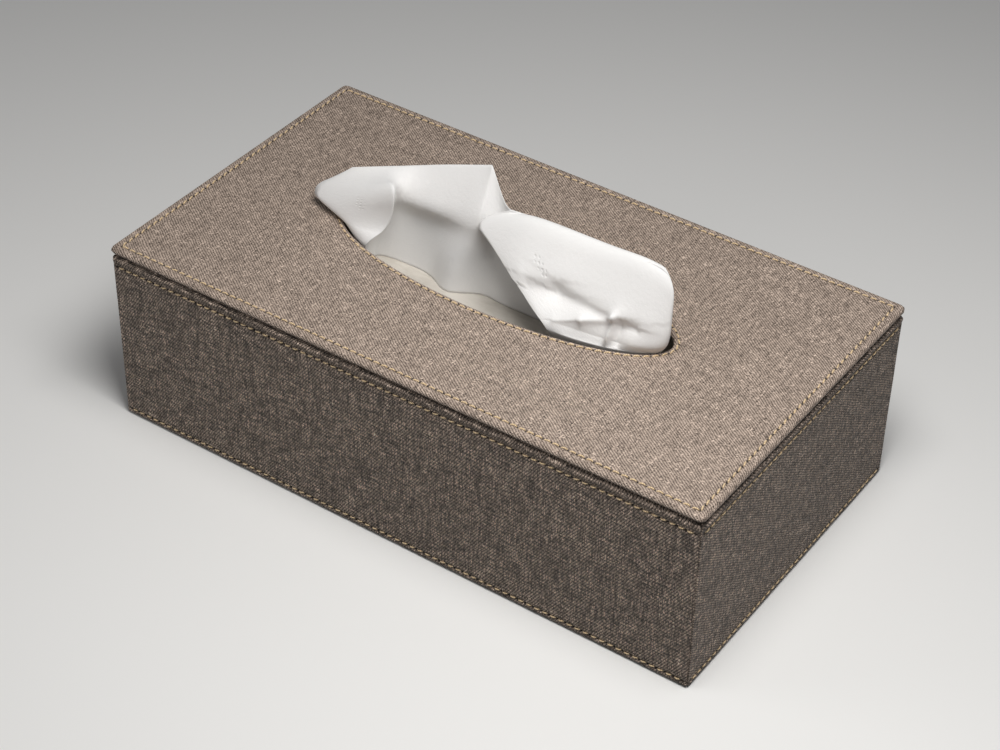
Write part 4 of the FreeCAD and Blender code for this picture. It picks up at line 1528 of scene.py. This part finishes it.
@dataclass
class FoldedTissues:
    """The stack of folded tissues, with the edge of each fold showing at its sides."""

    layers: int = 46
    edge: float = 1.5 * MM
    bulge: float = 0.5 * MM
    shift: float = 0.35 * MM
    sag: float = 0.25 * MM
    side_steps: int = 64
    corner_power: int = 24
    seed: int = 17
    top_seed: int = 23

    def build(self) -> bpy.types.Object:
        """Make the stack.

        Rings run from the middle of the underside, up the sides in one small bulge for each layer, and in to
        the middle of the top. A ring is a rounded rectangle.

        Returns:
            The dressed piece.
        """
        low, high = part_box("tissue_pack")
        half_x, half_y = high.x, high.y
        tall = high.z - low.z
        each = tall / self.layers
        levels = np.arange(self.layers * 4 + 1) / 4
        inset = self.bulge * (1 - np.abs(np.sin(levels * math.pi)) ** 0.6)
        draw = np.random.default_rng(self.seed)
        shift = np.interp(levels, np.arange(self.layers + 1) + 0.5,
                          draw.uniform(0, self.shift, self.layers + 1))
        sides = np.stack([inset + shift, low.z + levels * each], -1)
        soften = self.edge * (1 - np.sin(np.clip((high.z - sides[:, 1]) / self.edge, 0, 1) * math.pi / 2))
        sides[:, 0] += soften
        shares = np.array([0.0, 0.35, 0.7, 0.9, 0.975])
        start, end = sides[0, 0], sides[-1, 0]
        bottom = np.stack([half_y + (start - half_y) * shares, np.full(len(shares), low.z)], -1)
        top = np.stack([half_y + (end - half_y) * shares[::-1], np.full(len(shares), high.z)], -1)
        line = np.concatenate([bottom, sides, top])
        around = self.corners(self.side_steps)
        reach = np.stack([half_x - line[:, 0], half_y - line[:, 0]], -1)
        reach[:, 0] = np.where(line[:, 0] > half_y * 0.999, half_x - half_y, reach[:, 0])
        points = around[:, None] * reach[None]
        heights = np.broadcast_to(line[None, :, 1], points.shape[:2]).copy()
        on_top = line[:, 1] > high.z - 0.01 * MM
        uneven = wander(points[:, on_top, 0], points[:, on_top, 1], self.top_seed, self.sag)
        heights[:, on_top] -= self.sag + uneven
        solid = np.concatenate([points, heights[..., None]], -1)
        made = Grid(solid, points[..., :2].copy(), closed_across=True).piece("tissue_stack")
        weld(made)
        # Painted shade: the white stack wears the dimmed grey-beige tissue finish.
        SHADED_FOLDED_TISSUE.dress(made)
        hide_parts("tissue_pack")
        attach(made, "box")
        return made

    def corners(self, steps: int) -> Array:
        """A square outline from -1 to 1 with slightly rounded corners, evenly stepped along each side."""
        angles = np.linspace(0, math.tau, steps * 4, endpoint=False) + math.pi / 4
        square = np.stack([np.cos(angles), np.sin(angles)], -1)
        size = (np.abs(square) ** self.corner_power).sum(-1, keepdims=True) ** (1 / self.corner_power)
        return square / size


# Each column of the drawn tissue climbs from the stack, through the slot, to the upper edge. A point is how
# far it lies to the right of the slot's middle, how far behind it and how far above the lid, in millimetres.
DRAWN_COLUMNS = [
    [(-60, -1, -17), (-65.5, -1.5, -6), (-68.8, -1.5, 0.8), (-81, -5.5, 3.2), (-83.5, -2, 7),
     (-75, 0.5, 12.8), (-69.5, 3, 17.4)],
    [(-56, -4, -17), (-60.5, -8, -6), (-64.2, -10.2, 0.6), (-69, -11, 4), (-67, -6, 10), (-66, 0, 15.5),
     (-63, 5, 19.1)],
    [(-56, -8, -17), (-54, -11.5, -6), (-51.5, -13.3, 0.6), (-46.2, -6, 5.6), (-43.7, -6, 23.9),
     (-56.5, 2, 19), (-57, 8, 20.1)],
    [(-56, -7.5, -17), (-54, -11, -6), (-51.3, -12.9, 0.6), (-45.8, -5.5, 5.6), (-43.4, -5.6, 23.8),
     (-54, 3, 19.2), (-54.5, 9, 20.6)],
    [(-56, -6, -17), (-54, -9, -6), (-51, -11, 0.3), (-46.2, -4.6, 5.2), (-43.8, -4.6, 22.8),
     (-51.2, 4.2, 19.2), (-52.2, 10, 21)],
    [(-62, 4, -17), (-62, 4, -6), (-61, 4, 1), (-56, 5, 6), (-50, 4.5, 12), (-47.5, 6.3, 18.4),
     (-48.5, 12, 21.6)],
    [(-47, 4.6, -17), (-46, 7, -6), (-44.5, 8, -0.5), (-42, 8.5, 5), (-40, 3.5, 10.8), (-41.5, 8, 17),
     (-43, 13, 23.4)],
    [(-34, 5, -17), (-33, 7, -6), (-31.5, 8, 0), (-30, 8.3, 5.5), (-28, 4.2, 12), (-30, 9.5, 20),
     (-33, 14.5, 26.8)],
    [(-25.5, -3, -17), (-22.8, -1.8, -6), (-20.3, -0.6, 1), (-17.6, 1.2, 8), (-14.6, 2.8, 15.3),
     (-16.8, 10, 24.5), (-19.5, 16, 31)],
    [(-16, 5, -17), (-14, 7, -6), (-12, 7.8, 1), (-11, 7.4, 8), (-12, 4.5, 15), (-14.2, 10, 24.5),
     (-16.2, 16, 32.3)],
    [(-10, 6, -17), (-8, 7, -6), (-6, 7.5, 1), (-6, 7.5, 8), (-9, 6, 14.5), (-12, 10, 23.5),
     (-15.8, 15.6, 32.4)],
    [(-6, 5, -17), (-4, 7, -6), (-3, 8, 1), (-3, 9, 7), (-4, 8, 12), (-5.5, 8, 18), (-6, 9, 22)],
    [(-1, 5, -17), (1, 7, -6), (2, 8, 1), (2, 9, 7), (1, 9, 12), (0, 8.5, 17), (-0.5, 6.5, 24)],
    [(12, 5, -17), (14, 8, -6), (14, 10, 1), (14, 11, 8), (14, 10.5, 14), (14, 7.5, 20.5),
     (14, 5.2, 25.6)],
    [(26, 5, -17), (28, 8, -6), (28, 10, 1), (28, 11, 8), (28, 10.5, 15), (28, 7.2, 22), (28, 4.8, 26.4)],
    [(40, 5, -17), (43, 7, -6), (44, 9, 1), (44, 10, 8), (44, 9.5, 16), (44, 6.2, 23), (44, 4, 27)],
    [(50, 3, -17), (56, 5, -6), (58, 6, 1), (59, 6, 9), (60, 6, 17), (60, 3.5, 25), (59, 2.6, 29.4)],
    [(56, -1, -17), (67.5, -3, -6), (73.8, -3, 0.5), (76, -4.5, 6), (75, -3, 15), (74.5, -1.5, 25),
     (66.5, 2, 29.3)],
    [(48, -4, -17), (58, -8.5, -6), (62.4, -10.1, 0.8), (66.5, -11.5, 4.5), (65, -5.5, 18.5), (60, 3, 33),
     (59.5, 6, 28)],
    [(40, -5, -17), (48, -11, -6), (49.5, -13.6, 0.5), (48, -13, 5.5), (44.5, -5, 17.5),
     (44.3, 4.5, 30.4), (45, 7.3, 25.3)],
    [(34, -5, -17), (39, -13, -6), (39.5, -15.7, 0.8), (34, -14.4, 5), (29, -5.5, 16), (28.3, 5.2, 29.7),
     (29, 8, 24.6)],
    [(30, -5, -17), (32, -13, -6), (32, -16.5, 0.8), (24, -15, 5), (14, -6, 14.5), (12.5, 5.5, 29.6),
     (13.5, 8.5, 24)],
    [(29, -5, -17), (31, -13, -6), (30.5, -16.8, 0.8), (21.8, -14.8, 5), (6, -5.6, 14), (0.5, 6, 26.8),
     (4, 8, 23.8)],
    [(28, -5, -17), (30, -13, -6), (29.5, -17, 0.8), (19.5, -14, 4.8), (-3.5, -2.5, 13.6),
     (-17.5, 4, 15.6), (-1.5, 6.6, 24.2)],
]


@dataclass(frozen=True)
class Fold:
    """A ridge or a hollow pressed into the tissue along a line seen from the front, in millimetres."""

    start: tuple[float, float]
    end: tuple[float, float]
    height: float
    above: float
    below: float
    first: float = 0.745
    last: float = 1.1
    soft: float = 0.45
    fade: float = 0.015

    def distance(self, x: Array, z: Array) -> tuple[Array, Array]:
        """Distance from the line, and the same across the line with its sign.

        Args:
            x: Places to the right of the slot's middle.
            z: Heights above the lid.

        Returns:
            The distances, and which side each place is on.
        """
        start, end = np.array(self.start), np.array(self.end)
        along = end - start
        share = np.clip(((x - start[0]) * along[0] + (z - start[1]) * along[1]) / (along @ along), 0, 1)
        off_x, off_z = x - start[0] - share * along[0], z - start[1] - share * along[1]
        return np.hypot(off_x, off_z), np.sign(along[0] * off_z - along[1] * off_x)

    def lift(self, x: Array, z: Array, share: Array) -> Array:
        """How far the fold stands out: its height times exp(-distance / width), rounded at the line.

        Args:
            x: Places to the right of the slot's middle.
            z: Heights above the lid.
            share: Place along the loop, which picks the layer.

        Returns:
            The lift at each place.
        """
        away, side = self.distance(x, z)
        fall = np.exp((self.soft - np.hypot(away, self.soft)) / np.where(side > 0, self.above, self.below))
        window = np.clip((share - self.first) / self.fade, 0, 1)
        window = window * np.clip((self.last - share) / self.fade, 0, 1)
        return self.height * fall * window


FOLDS = [
    Fold((13, 11.5), (27, 14), 0.7, 6.0, 1.6),
    Fold((27, 14), (53, 10.8), 0.9, 6.0, 1.6),
    Fold((17, 9), (28, 10.8), -2.0, 1.8, 4.4, soft=1.6),
    Fold((28, 10.8), (49, 9.4), -2.5, 1.8, 4.2, soft=1.6),
    Fold((31, 3.6), (41, 6.2), 1.1, 2.6, 1.3),
    Fold((41, 6.2), (52.6, 9.9), 2.2, 2.6, 1.2),
    Fold((37, -1.8), (50.5, -0.8), -3.2, 4.5, 1.0, soft=0.8),
    Fold((52.6, 10.2), (50.8, 0), 2.8, 1.0, 0.8, soft=0.3),
    Fold((55, 8), (54.5, 1), -1.6, 1.3, 2.0),
    Fold((54, 9.4), (60.5, 9.4), -1.6, 1.0, 2.6),
    Fold((53, 11.6), (65, 12.4), 0.5, 5.0, 1.5),
    Fold((-15.8, 31), (-13.6, 17), 0.7, 1.6, 4.0, 0.30, 0.48),
]
BOND_ROWS = [
    Fold((-58.7, 12.2), (-58.7, 9.8), 1, 0.7, 0.7, -0.1, 0.19),
    Fold((16, 17.6), (22, 14.2), 1, 0.7, 0.7),
]


def spline_weights(places: Array, degree: int, count: int) -> Array:
    """Weights of a clamped spline's points: the Cox and de Boor recursion on evenly spaced knots.

    Args:
        places: Where to evaluate, from 0 to 1.
        degree: The spline's degree.
        count: Number of its points.

    Returns:
        One row of weights for each place.
    """
    inner = count - degree
    knots = np.concatenate([np.zeros(degree), np.arange(inner + 1), np.full(degree, inner)]).astype(float)
    at = np.clip(places * inner, 0, inner - 1e-9)[:, None]
    weights = ((at >= knots[None, :-1]) & (at < knots[None, 1:])).astype(float)
    for order in range(1, degree + 1):
        kept = len(knots) - 1 - order
        left = knots[order:order + kept] - knots[:kept]
        end = knots[order + 1:order + 1 + kept]
        right = end - knots[1:1 + kept]
        rise = np.where(left > 0, (at - knots[:kept]) / np.where(left > 0, left, 1), 0)
        fall = np.where(right > 0, (end - at) / np.where(right > 0, right, 1), 0)
        weights = rise * weights[:, :kept] + fall * weights[:, 1:1 + kept]
    return weights


@dataclass
class DrawnTissue:
    """The tissue that stands up through the slot: one thin sheet, folded and creased."""

    columns: tuple[int, int] = (230, 165)
    front_flap: float = 0.745
    rows: int = 112
    thickness: float = 0.16 * MM
    sink: float = 0.45 * MM
    forward: tuple[float, float, float] = (0.0, -0.8, 0.6)
    slot_fade: Span = (1, 4)
    bond_gain: float = 3
    bond_floor: float = 0.6

    def surface(self) -> tuple[Array, Array]:
        """The sheet's middle surface: spline weights along the loop times the net times spline weights up.

        The folds are pressed in after that, all forwards and up, and fade out in the slot.

        Returns:
            Points, columns by rows, and the mask of the marks that bond the plies.
        """
        net = np.array(DRAWN_COLUMNS, float) * MM
        net[..., 2] += self.lid_top
        net[:, 0, 2] = self.seat
        share = np.concatenate([np.linspace(0, self.front_flap, self.columns[0], endpoint=False),
                                np.linspace(self.front_flap, 1, self.columns[1])])
        along = spline_weights(share, 3, net.shape[0])
        up = spline_weights(np.linspace(0, 1, self.rows), 2, net.shape[1])
        points = np.einsum("ui,ijk,vj->uvk", along, net, up)
        x, z = points[..., 0] / MM, (points[..., 2] - self.lid_top) / MM
        below, over = self.slot_fade
        lift = sum(fold.lift(x, z, share[:, None]) for fold in FOLDS) * np.clip((z + below) / over, 0, 1)
        bond = sum(np.clip(row.lift(x, z, share[:, None]) * self.bond_gain - self.bond_floor, 0, 1)
                   for row in BOND_ROWS)
        return points + (lift * MM)[..., None] * np.array(self.forward), bond

    def build(self) -> bpy.types.Object:
        """Returns:
            The dressed piece.
        """
        self.lid_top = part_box("lid_cover")[1].z
        self.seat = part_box("tissue_pack")[1].z - self.sink
        points, bond = self.surface()
        steps_u = np.linalg.norm(np.diff(points, axis=0), axis=2).mean(1)
        steps_v = np.linalg.norm(np.diff(points, axis=1), axis=2).mean(0)
        u = np.concatenate([[0.0], np.cumsum(steps_u)])
        v = np.concatenate([[0.0], np.cumsum(steps_v)])
        pattern = np.stack(np.broadcast_arrays(u[:, None], v[None, :]), -1)
        made = Grid(points, pattern, masks={"ply_bond": bond}).piece("drawn_tissue")
        shell = made.modifiers.new("Thickness", "SOLIDIFY")
        shell.thickness = self.thickness
        shell.offset = 0.0
        TISSUE.dress(made)
        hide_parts("pulled_tissue")
        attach(made, "box")
        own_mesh(made)
        return made


# The studio


@dataclass(frozen=True)
class Lamp:
    """One soft square lamp: where it hangs, the point that it faces, its side in metres and its watts."""

    name: str
    place: tuple[float, float, float]
    aim: tuple[float, float, float]
    size: float
    power: float
    colour: Colour = (1.0, 0.985, 0.965)

    def hang(self) -> None:
        """Add the lamp to the scene."""
        data = bpy.data.lights.new(self.name, "AREA")
        data.shape, data.size, data.energy, data.color = "SQUARE", self.size, self.power, self.colour
        made = bpy.data.objects.new(self.name, data)
        made.location = self.place
        made.rotation_euler = (Vector(self.aim) - Vector(self.place)).to_track_quat("-Z", "Y").to_euler()
        bpy.context.scene.collection.objects.link(made)


LAMPS = [
    Lamp("key", (0.18, -0.135, 0.55), (0.08, -0.05, 0.05), 0.26, 2.95),
    Lamp("fill", (-0.55, -0.42, 0.34), (-0.05, 0, 0.05), 0.4, 0.7),
]


@dataclass
class Studio:
    """Camera, floor and lamps."""

    azimuth: float = 34.09
    elevation: float = 38.57
    roll: float = 1.23
    distance: float = 0.897
    slide_right: float = 0.1 * MM
    slide_up: float = 24.9 * MM
    lens: float = 85.82
    sensor: float = 36.0
    floor_colour: Colour = (0.84, 0.84, 0.83)
    floor_bounce: Colour = (0.10, 0.10, 0.098)
    floor_half: float = 6.0
    world_colour: tuple[float, float, float, float] = (0.93, 0.95, 1.0, 1.0)
    world_strength: float = 0.085

    def camera(self) -> None:
        """Set the camera at the photograph's angle: by azimuth and elevation, then rolled."""
        az, el, roll = (math.radians(angle) for angle in (self.azimuth, self.elevation, self.roll))
        right = Vector((math.cos(az), math.sin(az), 0))
        back = Vector((math.sin(az) * math.cos(el), -math.cos(az) * math.cos(el), math.sin(el)))
        up = back.cross(right)
        cos, sin = math.cos(roll), math.sin(roll)
        right, up = cos * right + sin * up, cos * up - sin * right
        data = bpy.data.cameras.new("Camera")
        data.lens, data.sensor_width, data.sensor_fit = self.lens, self.sensor, "HORIZONTAL"
        data.clip_start, data.clip_end = 0.01, 50.0
        made = bpy.data.objects.new("Camera", data)
        bpy.context.scene.collection.objects.link(made)
        place = right * self.slide_right + up * self.slide_up + back * self.distance
        made.matrix_world = Matrix.Translation(place) @ Matrix((right, up, back)).transposed().to_4x4()
        bpy.context.scene.camera = made

    def floor(self) -> None:
        """A plain pale floor, wide enough for every view, which throws less light back than it shows."""
        half = self.floor_half
        points = np.array([[[-half, -half, 0], [-half, half, 0]], [[half, -half, 0], [half, half, 0]]])
        made = Grid(points, points[..., :2]).piece("floor")
        material = bpy.data.materials.new("pale_floor")
        material.use_nodes = True
        graph = Graph(material.node_tree)
        shader = material.node_tree.nodes["Principled BSDF"]
        path = graph.node("ShaderNodeLightPath").outputs
        seen = graph.math("MAXIMUM", path["Is Camera Ray"],
                          graph.math("MAXIMUM", path["Is Glossy Ray"], path["Is Transmission Ray"]))
        graph.feed(shader.inputs["Base Color"], graph.blend(seen, self.floor_bounce, self.floor_colour))
        shader.inputs["Roughness"].default_value = 0.9
        made.data.materials.append(material)

    def build(self) -> None:
        """Set up the view, the floor, the lamps and the pale world."""
        self.camera()
        self.floor()
        for lamp in LAMPS:
            lamp.hang()
        world = bpy.data.worlds.new("Pale")
        world.use_nodes = True
        world.node_tree.nodes["Background"].inputs["Color"].default_value = self.world_colour
        world.node_tree.nodes["Background"].inputs["Strength"].default_value = self.world_strength
        bpy.context.scene.world = world


def dress_frame() -> None:
    """Give each node of the frame that stays in view its finish."""
    finishes = {"board": BOARD, "lining": LINING, "pad": FELT}
    for name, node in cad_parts.items():
        finish = finishes.get(name.split("_")[-1])
        if finish and not node.hide_render:
            finish.dress(node)
            log.info("%s is dressed in %s", name, finish.name)


def main() -> None:
    """Build every sub-assembly in order."""
    bpy.context.scene.view_settings.view_transform = "Standard"
    wrapping = Wrapping()
    lid = Lid(wrapping)
    made = [lid.cover(), *lid.stitches()]
    for side in Side:
        wall = Wall(side, wrapping)
        made += [wall.cover(), *wall.stitches()]
    made += Hinge(wrapping).build()
    made.append(FoldedTissues().build())
    made.append(DrawnTissue().build())
    dress_frame()
    for piece in made:
        log.info("%s: %d faces", piece.name, len(piece.data.polygons))
    Studio().build()


if __name__ == "__main__":
    logging.basicConfig(level=logging.INFO, format="%(message)s")
    main()
